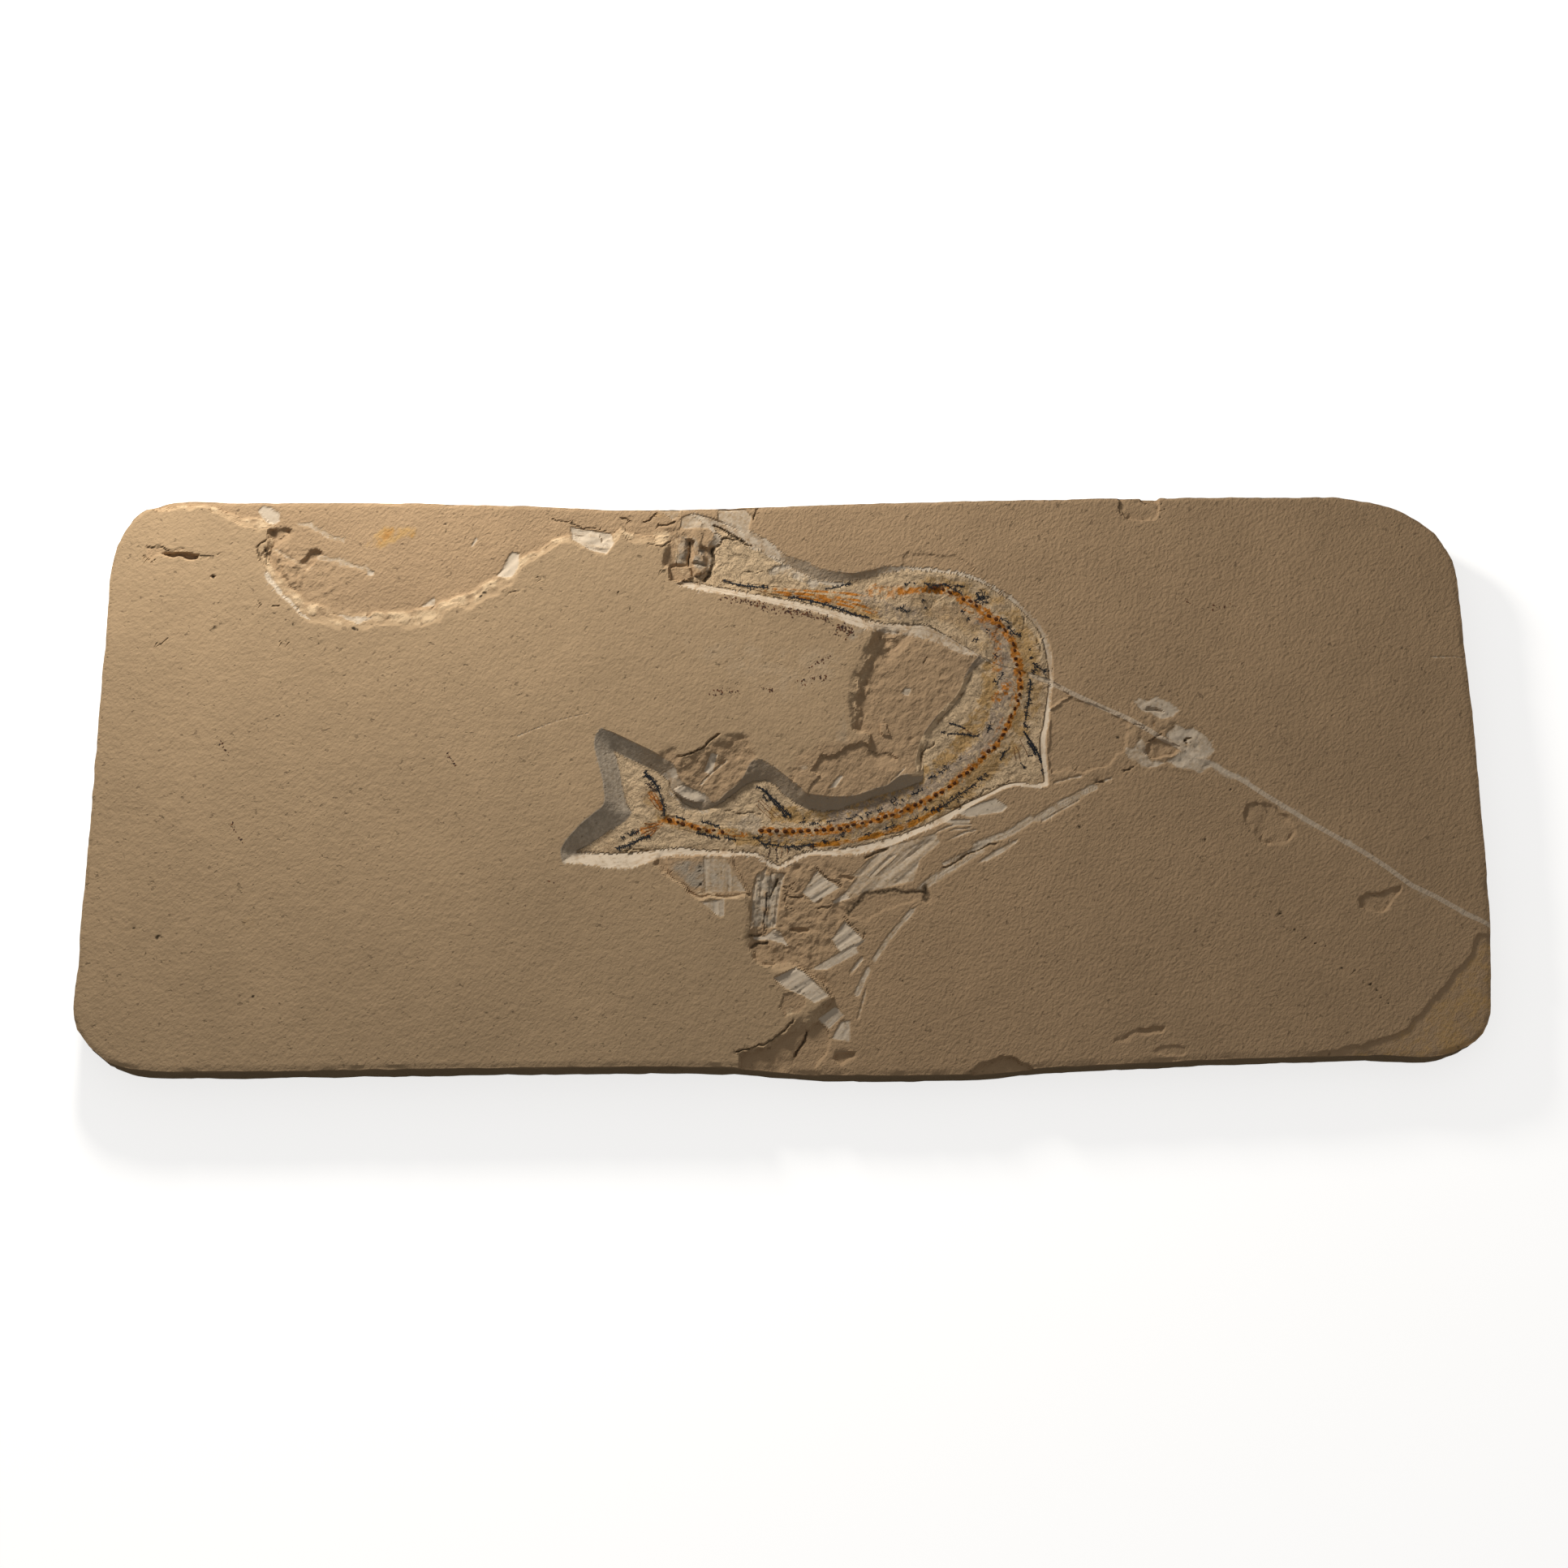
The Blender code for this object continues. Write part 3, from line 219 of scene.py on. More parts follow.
# Hollows, ledges and low steps: name, level, slope width, outline. A scar's floor is lumpy, more
# so in a pit, a striated one is streaked, and a shelf only raises what lies lower
STEPS = [
    ("arched_ledge", 14.7, 1.4, [
        (27.6, -61), (29, -57), (33, -53), (39, -50.6), (50, -49.6), (58, -49.8), (61, -46.6),
        (62.4, -51), (60.4, -54), (50, -56), (40, -60), (34, -64),
    ]),
    ("inner_bed", INNER_BED, 1.5, [
        (33, 22), (34, 30), (36, 40), (38.6, 50), (43, 58), (52, 66), (60, 76), (96, 60), (82, 44),
        (64, 22), (52, 12), (44, 20),
    ]),
    ("dip_by_the_natural_wall", 14.4, 9.0, [
        (84, 60), (76, 61), (69, 56), (67, 46), (59, 36), (52, 26), (50, 15), (56, 3), (66, 0),
        (72, 8), (76, 20), (84, 32), (92, 44), (98, 58),
    ]),
    ("hollow_by_the_scarp", 14.2, 6.5, [
        (31, 26), (31, 36), (31.6, 46), (34.4, 55), (39, 63), (42, 70), (54, 71), (51, 62),
        (47, 56), (41, 46), (38.4, 36), (36, 28),
    ]),
    ("dark_hollow_by_the_scarp", 13.2, 5.0, [
        (37, 59), (38.4, 72), (46, 72), (56, 70), (58, 66), (53, 60), (47, 55), (41, 54),
    ]),
    ("front_scar", 14.6, 11.0, [
        (-17, -122.5), (-9, -118.6), (-3, -114.6), (2, -109.6), (8, -105.2), (12, -104),
        (18, -108), (19, -120), (16, -126), (15, -150), (-18, -150),
    ]),
    ("front_ledge", 14.4, 1.2, [
        (4, -140), (4.4, -123.4), (9.6, -114), (12, -109), (15, -106), (20, -112), (19, -120),
        (15, -126), (15, -140),
    ]),
    ("flake_in_upper_bed", 17.3, 0.7, [
        (-1, -94), (7, -93), (11, -97), (8.5, -103), (0, -104.5), (-1.5, -100),
    ]),
    ("low_bed_by_flake", 16.6, 3.0, [
        (-15, -75), (-8, -72.5), (2, -73.5), (5, -78), (3, -82.5), (-5, -84), (-11, -83),
    ]),
    ("grey_patch_bed", 16.4, 1.2, [
        (-51, -33), (-30, -33), (-29, -52.6), (-36, -52.4), (-42, -49.6), (-48, -45.4),
        (-51.5, -41),
    ]),
    ("panel_bed", 16.4, 1.2, [
        (-35, -33), (-23, -33), (-17.5, -42), (-14.5, -51.4), (-24, -51.6), (-36, -51.8),
    ]),
    ("tail_scar", 16.9, 4.6, [
        (-57, 8), (-56.5, 12.5), (-54, 14.8), (-50, 15.4), (-46.5, 14.4), (-45, 12.4),
        (-41, 13.4), (-37, 15.6), (-33, 18), (-30, 20.4), (-27, 20.2), (-23, 22.2), (-18, 22.6),
        (-13.4, 21.2), (-11.6, 16), (-10, 7), (-12, -2), (-16, -7), (-28, -16), (-42, -13),
        (-52, -2), (-55, 6),
    ]),
    ("tail_scar_floor", 15.2, 12.0, [
        (-47, 9), (-42, 11.4), (-38, 13.6), (-33, 17.6), (-28, 20.4), (-22, 21.6),
        (-16.5, 20), (-12, 14), (-9, 4), (-10, -8), (-26, -22), (-40, -20), (-50, -8),
    ]),
    ("channel_scar", 15.0, 6.0, [
        (-15, -38), (-2, -36), (14, -33), (30, -40), (32, -58), (26, -66), (24, -78), (10, -86),
        (-6, -86), (-17, -76),
    ]),
    ("broken_pocket", 13.2, 1.6, [
        (-51.4, 94), (-47.5, 92), (-40, 92.6), (-33.6, 96), (-30.6, 102), (-31, 108.4),
        (-35, 110.6), (-41, 112.4), (-47, 113.6), (-51.4, 111),
    ]),
    ("pocket_facet_scar", 15.0, 3.0, [
        (-54, 99), (-43.4, 99.6), (-42.8, 104), (-43.2, 112), (-42.4, 119), (-54, 119),
    ]),
    ("pocket_block", 14.6, 0.9, [(-51, 92.4), (-44, 91.8), (-40.8, 93.6), (-41.4, 99.6), (-50.4, 100)]),
    ("pocket_wedge", 15.6, 1.5, [
        (-41.4, 101.6), (-34.6, 100.4), (-34.2, 104), (-36, 111), (-36.4, 120), (-42, 120),
        (-41, 109),
    ]),
    ("pocket_lump", 15.2, 1.2, [
        (-40.6, 95.6), (-36.4, 93.4), (-33.4, 97.6), (-34.2, 100.8), (-39, 101.8), (-41, 100),
    ]),
    ("corner_bed", 14.3, 1.0, [
        (310, -68), (297, -68), (294, -74), (291, -80), (287, -84), (283, -89), (279, -93),
        (276, -98), (270, -103), (265, -108), (260, -111), (250, -114), (240, -117),
        (230, -119), (222, -121.5), (215, -140), (310, -140),
    ]),
    ("scar_by_the_break", 14.3, 1.3, [
        (200, -20), (199.5, -14), (201, -11), (205, -9.5), (210, -9), (215, -12), (221, -18),
        (221.4, -24), (218, -28.6), (210, -30), (204, -27),
    ]),
    ("scar_at_the_right", 14.3, 1.1, [
        (247, -53), (250, -50.5), (255, -49.5), (262, -48), (266, -47.4), (266.4, -49.4),
        (263, -53), (261, -57), (258, -59.5), (250, -59.5), (247, -57),
    ]),
    ("arched_scar", 14.5, 1.3, [
        (138, -116), (141, -114), (146, -112), (151, -109.5), (156, -108), (160.4, -108.6),
        (163, -109.6), (160, -112), (152, -113), (145, -115.4),
    ]),
    ("second_arch", 14.7, 1.1, [
        (156, -118.5), (159, -117), (165, -116.5), (170, -118), (172.5, -120.5), (165, -122),
        (158, -121.4),
    ]),
    ("front_hollow", 13.7, 1.8, [
        (20, -122), (21.6, -119.8), (25, -119), (30.4, -119.8), (30, -123), (26, -124.6),
        (22, -124.4),
    ]),
    ("front_chip", 12.8, 1.2, [
        (78, -133), (80, -126.4), (86, -123.6), (92, -122), (99, -122.4), (104, -124),
        (109, -131),
    ]),
    ("back_notch_scar", 14.2, 1.0, [
        (150, 140), (150.4, 130), (151.4, 125), (153, 122), (160, 120.6), (167, 122.4),
        (169, 130), (169, 140),
    ]),
    ("back_notch", 12.4, 0.8, [(159.5, 140), (159.8, 132.2), (164, 131.4), (168.4, 132), (168.6, 140)]),
    ("cavity", 13.6, 1.3, [(2, -67), (4, -65.4), (8, -65), (10.6, -66.4), (10.4, -68.6), (5, -68.8)]),
    ("slit_by_hatching", 14.0, 1.0, [(23, -43.4), (27, -42.4), (31, -43), (30, -45.4), (24, -45)]),
    ("gouge", 13.2, 1.8, [
        (-219, 98.4), (-216, 103), (-212, 107), (-209, 108.4), (-205, 107.4), (-204.4, 104.6),
        (-208, 102.6), (-212, 98),
    ]),
    ("striated_scar", 15.6, 4.0, [
        (-232, 100), (-229, 108), (-222, 111), (-215, 108), (-211, 98), (-212, 90), (-218, 87),
        (-225, 93),
    ]),
    ("dark_pit_of_the_scar", 13.8, 3.0, [
        (-231.6, 113), (-230.4, 118), (-224, 119.2), (-219.4, 117.6), (-220.4, 113), (-225, 109.4),
        (-229, 108.6),
    ]),
    ("scratched_pit", 14.8, 1.2, [
        (-281, 108.4), (-276, 107.4), (-268, 107), (-262, 106), (-260.4, 106.2), (-261, 103),
        (-263.4, 102.2), (-270, 104.4), (-276, 104.4), (-279.4, 106),
    ]),
    ("scratched_slope", 17.3, 1.6, [
        (-285, 105.4), (-282, 102), (-279.4, 104), (-274, 106), (-262, 107.4), (-268, 109),
        (-277, 108.4), (-283.6, 110.2),
    ]),
    ("pit_on_upper_bed", 17.2, 0.8, [
        (-255.4, 94.8), (-254, 96), (-252, 95.6), (-251.4, 94.6), (-253.6, 94),
    ]),
    ("corner_by_the_break", 14.3, 1.0, [
        (112, 28), (116.6, 31.6), (119, 33.8), (126, 39.6), (122, 44), (112, 47),
    ]),
    ("ledge_by_the_break", 14.55, 0.9, [
        (116.6, 31.6), (119, 33.6), (122, 37), (126, 39.2), (132, 37.4), (145, 30.4),
        (154, 25.6), (150, 15), (147.4, 12), (143, 9.5), (139, 6), (135, 4.5), (130, 2.9),
        (122, 3.5), (116.2, 2.6), (115, 10), (115.4, 22),
    ]),
    ("second_ledge", 14.3, 0.9, [
        (36, 14.2), (40, 13), (46, 12.4), (50, 10), (40, 6), (30, 8), (27, 12),
    ]),
    ("belly_shelf", 16.6, 7.0, [
        (2, -8), (2, 14), (16, 20), (28, 23), (39, 23), (41, 13), (50, 10), (59, 7),
        (62, -1), (44, -12), (30, -16), (10, -16),
    ]),
    ("belly_corner_shelf", 17.3, 6.0, [(0, -14), (0, 9), (13, 8), (22, 3), (24, -6), (20, -16)]),
    ("block", 15.9, 0.8, [(42.4, 20), (42.4, 26), (46.4, 26), (46.8, 20)]),
    ("head_ledge", 14.85, 0.9, [
        (53, 98), (53, 104), (55.6, 107), (60, 106), (70, 106), (78, 104.5), (82, 102.5),
        (86, 99.4), (92, 94), (88, 92), (70, 97),
    ]),
    ("smeared_patch", 15.5, 2.0, [
        (152, 35.5), (156, 37.5), (160, 36.5), (165, 39), (170, 37.5), (174, 33), (180, 25),
        (189, 15), (187, 9), (181, 2.5), (172, 4), (160, 5), (152, 7), (147, 14), (150, 24),
    ]),
    ("hole_in_the_smear", 14.0, 1.0, [
        (157.4, 32), (160, 33.6), (166, 33.4), (166.4, 31.6), (160, 30.8),
    ]),
    ("hollow_in_the_smear", 14.3, 1.2, [
        (157.4, 12), (158, 17.6), (162, 20), (167, 18.6), (171.6, 15.8), (173, 12.4),
        (168, 10.4), (162, 10),
    ]),
]
# Height of the lumps in scars and in pits, and of the streaks
SCAR_LUMPS = 0.45
PIT_LUMPS = 0.7
STRIAE = 0.7

# Fields where the rough bed is lumpier: height of the lumps, outline
LUMPY_FIELDS = [
    (0.25, [
        (26, 20), (28, 44), (30, 56), (37, 70), (60, 72), (92, 60), (90, 52), (66, 18), (58, 2),
        (40, -10), (12, -10), (10, 10),
    ]),
    (0.45, [
        (28, 24), (28, 50), (34, 66), (40, 72), (56, 71), (48, 60), (40, 50), (37, 36), (34, 24),
    ]),
    (0.34, [
        (-16, -38), (-2, -36), (14, -33), (30, -40), (33, -58), (26, -66), (26, -80), (22, -96),
        (12, -100), (-6, -86), (-17, -76),
    ]),
    (0.22, [(-57, 8), (-46, 14), (-27, 22), (-12, 20), (-8, 4), (-16, -12), (-44, -12)]),
    (0.25, [(-232, 98), (-220, 112), (-206, 108), (-190, 96), (-186, 84), (-212, 80)]),
    (0.32, [(149, 36), (160, 38), (175, 31), (183, 22), (187, 8), (172, 3), (158, 5), (147, 13)]),
]
# Size of those lumps on the plan
LUMP_SIZE = 2.4

# Flat cuts of a blade: name, depth, angle of its streaks, streak pitch, streak depth, outline
BLADE_PATCHES = [
    ("hatching_one", 0.2, 33, 1.4, 0.24, [(14, -40), (24.4, -48.2), (13, -55.4), (7.4, -50.4)]),
    ("hatching_two", 0.2, 33, 1.3, 0.26, [(20, -54.6), (26, -50), (29, -53), (22, -55.4)]),
    ("hatching_three", 0.25, 36, 1.8, 0.38, [(26, -62.4), (35, -71.6), (25.4, -79.4), (20, -71)]),
    ("hatching_four", 0.2, 39, 1.5, 0.26, [(30, -72.6), (32.6, -77), (18.4, -84.6), (9.6, -84.8)]),
    ("leaning_patch", 0.7, 34, 1.7, 0.26, [
        (-5, -87.6), (5, -82.8), (9, -85), (20, -95.6), (13, -99), (8.4, -96), (0, -92.4),
    ]),
    ("hatching_six", 0.25, 41, 1.5, 0.25, [(13.6, -105.6), (22, -99.8), (26, -104), (19, -110.6)]),
    ("hatching_seven", 0.2, 58, 1.3, 0.25, [
        (19.6, -114.6), (24, -106.6), (28.4, -106), (28.2, -115.8),
    ]),
    ("panel", 0.1, 91, 1.2, 0.14, [
        (-35, -34.4), (-25, -34.4), (-20.5, -42), (-15.6, -50.2), (-34.4, -50.6),
    ]),
    ("channel_left", 0.35, 84, 0.9, 0.42, [
        (-12, -42), (-7, -38.6), (-7.6, -48), (-9.4, -66), (-14.6, -66), (-14, -50),
    ]),
    ("channel_right", 0.5, 82, 1.0, 0.46, [
        (-6, -41), (1, -41.6), (-1, -50), (-3.4, -66), (-7.6, -67), (-7, -52),
    ]),
    ("burst", 0.1, 158, 1.4, 0.2, [
        (-14, -70), (-8, -69), (-4, -66), (-1, -68), (0, -70), (3, -75.6), (-1, -73), (-6, -71.6),
        (-13, -71.6),
    ]),
    ("triangle", 0.35, 91, 1.5, 0.12, [(-36, -54.4), (-27.4, -61.8), (-25.2, -60.6), (-25.2, -52.4)]),
    ("side_field", 0.05, 42, 2.4, 0.2, [
        (27, -54), (25.4, -51), (31, -44), (38, -34.4), (46, -29), (66, -23.4), (68, -28),
        (59, -36), (56, -45.6), (44, -48.4), (34, -51),
    ]),
    ("side_band_one", 0.2, 42, 1.6, 0.28, [
        (28, -43.4), (38, -33.6), (45, -28.8), (49, -30), (38, -40), (32, -44),
    ]),
    ("side_band_two", 0.2, 42, 1.5, 0.28, [
        (37, -44.4), (52, -31), (60, -27), (63, -28), (50, -38.4), (42, -44),
    ]),
    ("side_band_three", 0.2, 36, 1.5, 0.2, [(52, -35), (63, -26), (68, -27.2), (64, -31), (57, -34.6)]),
    ("side_band_four", 0.15, 44, 2.2, 0.26, [
        (29, -52.6), (33, -49), (46, -36.6), (50, -32.4), (44.6, -34), (35, -44.6), (27.4, -47.6),
    ]),
    ("side_band_five", 0.12, 40, 2.6, 0.2, [
        (38, -48.4), (42, -41.6), (48, -38.4), (53.6, -43.6), (56, -45.6), (47, -47),
    ]),
    ("rim_patch", 0.1, 22, 2.0, 0.1, [
        (74, -14.6), (85, -10), (92, -7.6), (97.6, -11.6), (95, -14.4), (80, -17),
    ]),
    ("back_panel", 0.5, -9, 1.5, 0.22, [
        (-96, 119.4), (-77, 116), (-75.4, 110.4), (-79, 105.4), (-86, 107), (-95, 112.4),
    ]),
    ("wedge_by_the_pocket", 0.25, 50, 3.0, 0.08, [
        (-47, 117.6), (-46, 124), (-42, 126), (-31, 117.6), (-38, 118),
    ]),
    ("grey_cut_by_the_pocket", 0.4, -40, 3.0, 0.06, [
        (-57, 128.6), (-50, 121.6), (-46, 124), (-46, 128.6),
    ]),
    ("pale_cut_at_the_back", 0.4, -25, 2.6, 0.06, [
        (-30, 128.6), (-30, 121), (-16, 115), (-14, 124), (-17, 128.6),
    ]),
    ("scar_patch_one", 0.3, 60, 4.0, 0.06, [
        (-129, 94), (-124.6, 103), (-121, 106.8), (-117, 106), (-117, 100), (-121, 94),
    ]),
    ("scar_patch_two", 0.2, 30, 4.0, 0.06, [(-163, 80.4), (-155, 86), (-153.6, 84), (-154.6, 79.6)]),
    ("scar_patch_three", 0.2, 80, 4.0, 0.06, [
        (-139.6, 108.6), (-140, 113), (-138, 115.6), (-136.8, 112), (-138, 109),
    ]),
    ("scar_patch_four", 0.1, -50, 2.4, 0.08, [
        (-236, 126), (-233.6, 121.6), (-229.4, 119.6), (-225.2, 122), (-226.6, 127), (-230, 130.4),
        (-234.6, 129.6),
    ]),
    ("scar_patch_five", 0.2, 0, 3.0, 0.05, [
        (-201, 78), (-187, 71.6), (-179, 75.8), (-186, 76.4), (-196, 78),
    ]),
    ("scar_patch_six", 0.1, 60, 3.0, 0.05, [(-187, 94.6), (-185.4, 98), (-181.4, 97), (-182.6, 94)]),
    ("scar_edge_smear", 0.04, -48, 3.0, 0.05, [
        (-233, 97), (-230, 98.6), (-217, 82), (-205, 73), (-216, 77), (-225, 87.6),
    ]),
    ("tail_scar_patch", 0.4, 55, 3.4, 0.06, [(-35.4, 4), (-32, 13.4), (-28.6, 12), (-31.4, 2)]),
    ("chip_white", 0.3, 40, 4.0, 0.05, [
        (51.6, 40.6), (53, 43.4), (56.4, 42.4), (55.4, 38.8), (52.4, 38.8),
    ]),
    ("belly_chip", 0.3, 46, 3.0, 0.08, [(18.6, -4), (24, 3), (26.4, 2.4), (22.6, -3.4)]),
    ("mortar_smear_one", 0.1, 20, 5.0, 0.04, [
        (152, 35.5), (156, 37.8), (160, 36.5), (165, 39.4), (170, 37.5), (175, 33),
        (172, 29), (166, 27.6), (158, 30.4),
    ]),
    ("mortar_smear_two", 0.1, 20, 5.0, 0.04, [
        (171, 26.4), (176, 24), (180, 25.6), (183, 21.6), (189.4, 15), (185, 9.6),
        (178, 10.5), (172, 15), (167, 20),
    ]),
    ("mortar_smear_three", 0.1, 20, 5.0, 0.04, [
        (166, 8), (170, 12), (175, 14), (183, 9.6), (187, 6), (181, 2.4), (172, 6),
    ]),
    ("mortar_smear_four", 0.1, 60, 3.0, 0.06, [
        (148, 16), (152, 15), (157, 22.4), (158.4, 15), (161, 10), (168, 8), (160, 4.6),
        (155, 6), (150, 8), (147, 12),
    ]),
]

# Patches are faint, soft and ragged at the edge, or lean towards the light by their names
FAINT_PATCHES = ("side", "channel", "panel", "wedge", "grey", "pale", "mortar")
SOFT_PATCHES = ("scar", "mortar")
LEANING_PATCHES = ("hatching", "leaning")
# How strongly a full patch, a faint one and smeared mortar show, and how steep the lean is
FULL = 0.98
FAINT = 0.55
SMEARED = 0.74
LEAN = 0.07

# Strokes of a blade: width, depth, line
BLADE_STROKES = [
    (5.0, 0.14, [(59, -48.6), (66, -43.4), (75, -37.6), (85, -31)]),
    (2.2, 0.2, [(69, -37.6), (77, -33.6), (85, -29.8)]),
    (4.6, 0.14, [(82.6, -29.4), (90, -26.6), (98, -23.4), (107, -17.5)]),
    (4.6, 0.14, [(109.6, -17.4), (120, -11), (135, -3)]),
    (1.3, 0.35, [(112, -18.4), (120, -13.6), (128, -9)]),
    (1.7, 0.25, [(85, -36.6), (92, -32), (100, -27.6)]),
    (3.0, 0.16, [(38.4, -80), (46, -69), (52, -62), (55, -58.5)]),
    (3.2, 0.2, [(31, -95), (36, -84)]),
    (2.6, 0.14, [(66, -17.6), (73, -18.6), (80, -18.4)]),
    (1.2, 0.14, [(72, -26.4), (79, -23.4), (83, -22.4)]),
    (1.4, 0.12, [(87, -36), (95, -31.6), (101, -27)]),
    (1.2, 0.3, [(31.4, -105.6), (35, -93)]),
    (2.0, 0.4, [(28.6, -85.4), (33.4, -79.4)]),
    (1.3, 0.4, [(117.6, -1), (121, 0), (125, 1.2), (129.4, 1.9)]),
    (1.1, 0.3, [(66, -23.4), (73, -20.4), (81.4, -19.6)]),
    (1.0, 0.3, [(72, -22.5), (81.4, -21.4)]),
    (1.0, 0.3, [(75, -24.8), (80, -22.8), (82.4, -23.6)]),
    (1.5, 0.5, [(-36, -1.6), (-31, 4), (-25.2, 9)]),
    (2.8, 0.01, [(-217, 120.6), (-205, 115.6), (-198, 112)]),
    (3.2, 0.01, [(-208, 104), (-195, 100.6), (-187, 98), (-183, 95.6)]),
    (2.2, 0.01, [(-228, 108), (-217, 102.4), (-211, 99)]),
    (0.7, 0.3, [(-42, 126.2), (-28, 121), (-15, 114.6), (-2, 107)]),
    (0.9, 0.35, [(47, 0), (50, 3), (53, 6)]),
    (0.6, 0.2, [(286, 57), (300, 57.4)]),
    (0.5, 0.15, [(-117, 20), (-100, 27), (-85, 31)]),
    (1.4, 0.3, [(139, -0.4), (142.4, 0.9)]),
]
# Strokes shallower than this are smears with ragged edges
SMEAR_DEPTH = 0.1

# Dark cracks and slits, the dark being painted shade in them: width, depth, line
CRACKS = [
    (1.2, 1.4, [(4, -122.6), (6, -119), (9, -115), (10.4, -111)]),
    (0.8, 1.0, [(-20, -120.8), (-10, -117), (-5, -114), (0, -110), (4, -106.4)]),
    (0.9, 1.2, [(-47, 11), (-43, 12), (-39, 13.6), (-35, 16), (-31, 19.4), (-28, 21)]),
    (1.0, 1.0, [(-32, 119), (-28, 118), (-25, 115.8), (-21, 112.6)]),
    (0.9, 0.9, [(-27, 112.6), (-24, 112.8), (-20.4, 111.7), (-17, 110), (-14.4, 109.4)]),
    (1.0, 1.2, [(-43.2, 99.6), (-42.8, 104), (-43.2, 110.4)]),
    (1.9, 1.5, [(-31.2, 108.4), (-31.8, 104), (-32.2, 100), (-33.8, 96.6), (-36, 93)]),
    (0.5, 0.6, [(148, 3), (152, 6)]),
    (0.5, 0.7, [(153.6, 25.6), (157, 24), (160, 22.4)]),
    (0.7, 0.9, [(159, 18.6), (163, 20.4), (166, 21.2)]),
    (0.7, 0.9, [(170, 16.8), (172.4, 14.4)]),
    (0.5, 0.6, [(176, 16), (175.4, 19), (178.6, 20)]),
    (0.5, 0.5, [(-285, 105.5), (-282, 102), (-279, 104)]),
    (0.5, 0.5, [(-283, 109.5), (-279, 108.4), (-274, 107.4)]),
    (0.5, 0.4, [(-261, 105.4), (-256, 104.6), (-252, 105.2)]),
    (0.7, 0.8, [(-231.6, 112.4), (-234, 110.6), (-234.8, 106), (-234, 101)]),
    (0.7, 0.8, [(-232.6, 109), (-231.4, 105), (-231.4, 100.6)]),
    (0.5, 0.5, [(-104, 123.4), (-95, 120), (-84, 117.4), (-75, 116)]),
    (0.5, 0.7, [(150.4, 134), (150.8, 129), (151.6, 125)]),
    (0.8, 0.8, [(-13, 128.6), (-13.6, 125.6), (-14, 122.8)]),
    (0.6, 0.6, [(36, 13.9), (40, 13), (46, 12.3)]),
    (0.5, 0.5, [(-25, -14), (-18, -14.8), (-10, -16)]),
    (1.7, 0.5, [
        (28, -60), (30.4, -55.6), (34, -52.2), (40, -50.2), (48, -49.4), (55, -50), (60, -50.4),
    ]),
    (2.8, 0.8, [(60.6, -47.8), (61.4, -50.4), (60.4, -54)]),
    (0.6, 0.8, [(8.8, -84.2), (14, -89.4), (20, -95.4)]),
    (0.6, 0.6, [(-1, -47), (2, -49.6), (1, -55), (4, -58)]),
    (0.5, 0.6, [(5, -44.6), (3, -47.4), (6, -50)]),
    (0.6, 0.8, [(14.4, -40), (19.6, -44.4), (24.8, -48.2)]),
    (0.5, 0.8, [(26, -62), (31, -67), (35.4, -71.6)]),
    (0.9, 0.7, [(68, -39), (73, -36.8), (77, -34.6), (82, -32), (87, -29.8), (92, -29.2)]),
    (1.3, 0.9, [(34.6, -33.8), (37, -33), (40, -32.3), (44, -31.2)]),
    (0.6, 0.35, [(76, -12.2), (80, -9.7), (85, -7), (90, -4), (95, -1.8), (100, -0.4)]),
    (0.7, 0.9, [(-7.6, -50), (-8.4, -58), (-8.6, -68)]),
    (0.8, 1.0, [(-2.6, -44.4), (-4.4, -49), (-6.8, -51.6)]),
    (1.3, 1.0, [(-14, -74.4), (-11, -72.6), (-8, -72.2)]),
    (1.2, 1.0, [(-14, -68.8), (-10.4, -68.6)]),
    (0.7, 0.8, [(0.6, -51.6), (4, -52.6), (8, -53)]),
    (0.7, 0.8, [(14.4, -57.6), (17, -57.2), (19.4, -56.6)]),
    (1.0, 0.8, [(136, -1.4), (138.4, -0.8)]),
    (0.4, 0.4, [(-109, 94.6), (-107, 93)]),
    (0.5, 0.5, [(-73.6, 88.2), (-71, 87.4)]),
    (0.5, 0.4, [(-55, 98.6), (-52.4, 97.8)]),
    (0.5, 0.4, [(-277, 64), (-275, 62.8), (-272.4, 65)]),
    (0.4, 0.4, [(-223.6, 64.6), (-220, 63.6), (-218, 64.2)]),
    (0.5, 0.5, [(-227, 80.8), (-225, 79.8), (-223, 80)]),
    (0.5, 0.4, [(-234, 84), (-231.8, 81.6)]),
    (0.5, 0.4, [(-122.6, 87.6), (-120, 88), (-117.6, 88.4)]),
    (0.5, 0.4, [(-137, 73.8), (-135.6, 75)]),
    (0.7, 0.7, [(-60, 110.4), (-55, 110), (-51, 111.6)]),
    (0.8, 0.8, [(-73, 122), (-68, 122.4), (-60, 122), (-58, 126)]),
    (0.8, 0.8, [(-56, 120.6), (-52, 120.2), (-48, 121)]),
    (0.6, 0.6, [(-30, 109), (-28, 110.6), (-26.6, 113.6)]),
    (0.5, 0.5, [(61.4, 53), (63.6, 57.6)]),
    (0.6, 0.6, [(59.4, 4.6), (59.4, 9.6), (61, 14), (65, 17)]),
    (0.4, 0.4, [(105.4, 77), (105.8, 73), (106, 69.6)]),
    (0.4, 0.4, [(112.4, 66), (113.2, 62.6), (113.4, 60)]),
    (0.5, 0.4, [(-18, 97), (-13, 97.6), (-9, 97.4)]),
    (0.5, 0.5, [(-69, -31.8), (-62, -30.6), (-56, -31.4)]),
    (0.5, 0.4, [(70, -13.6), (75, -12.6), (79, -10.4)]),
    (0.5, 0.4, [(43, -24.4), (49, -24.4), (54, -22.6)]),
    (0.5, 0.5, [(58, -15.6), (62, -13.4)]),
]

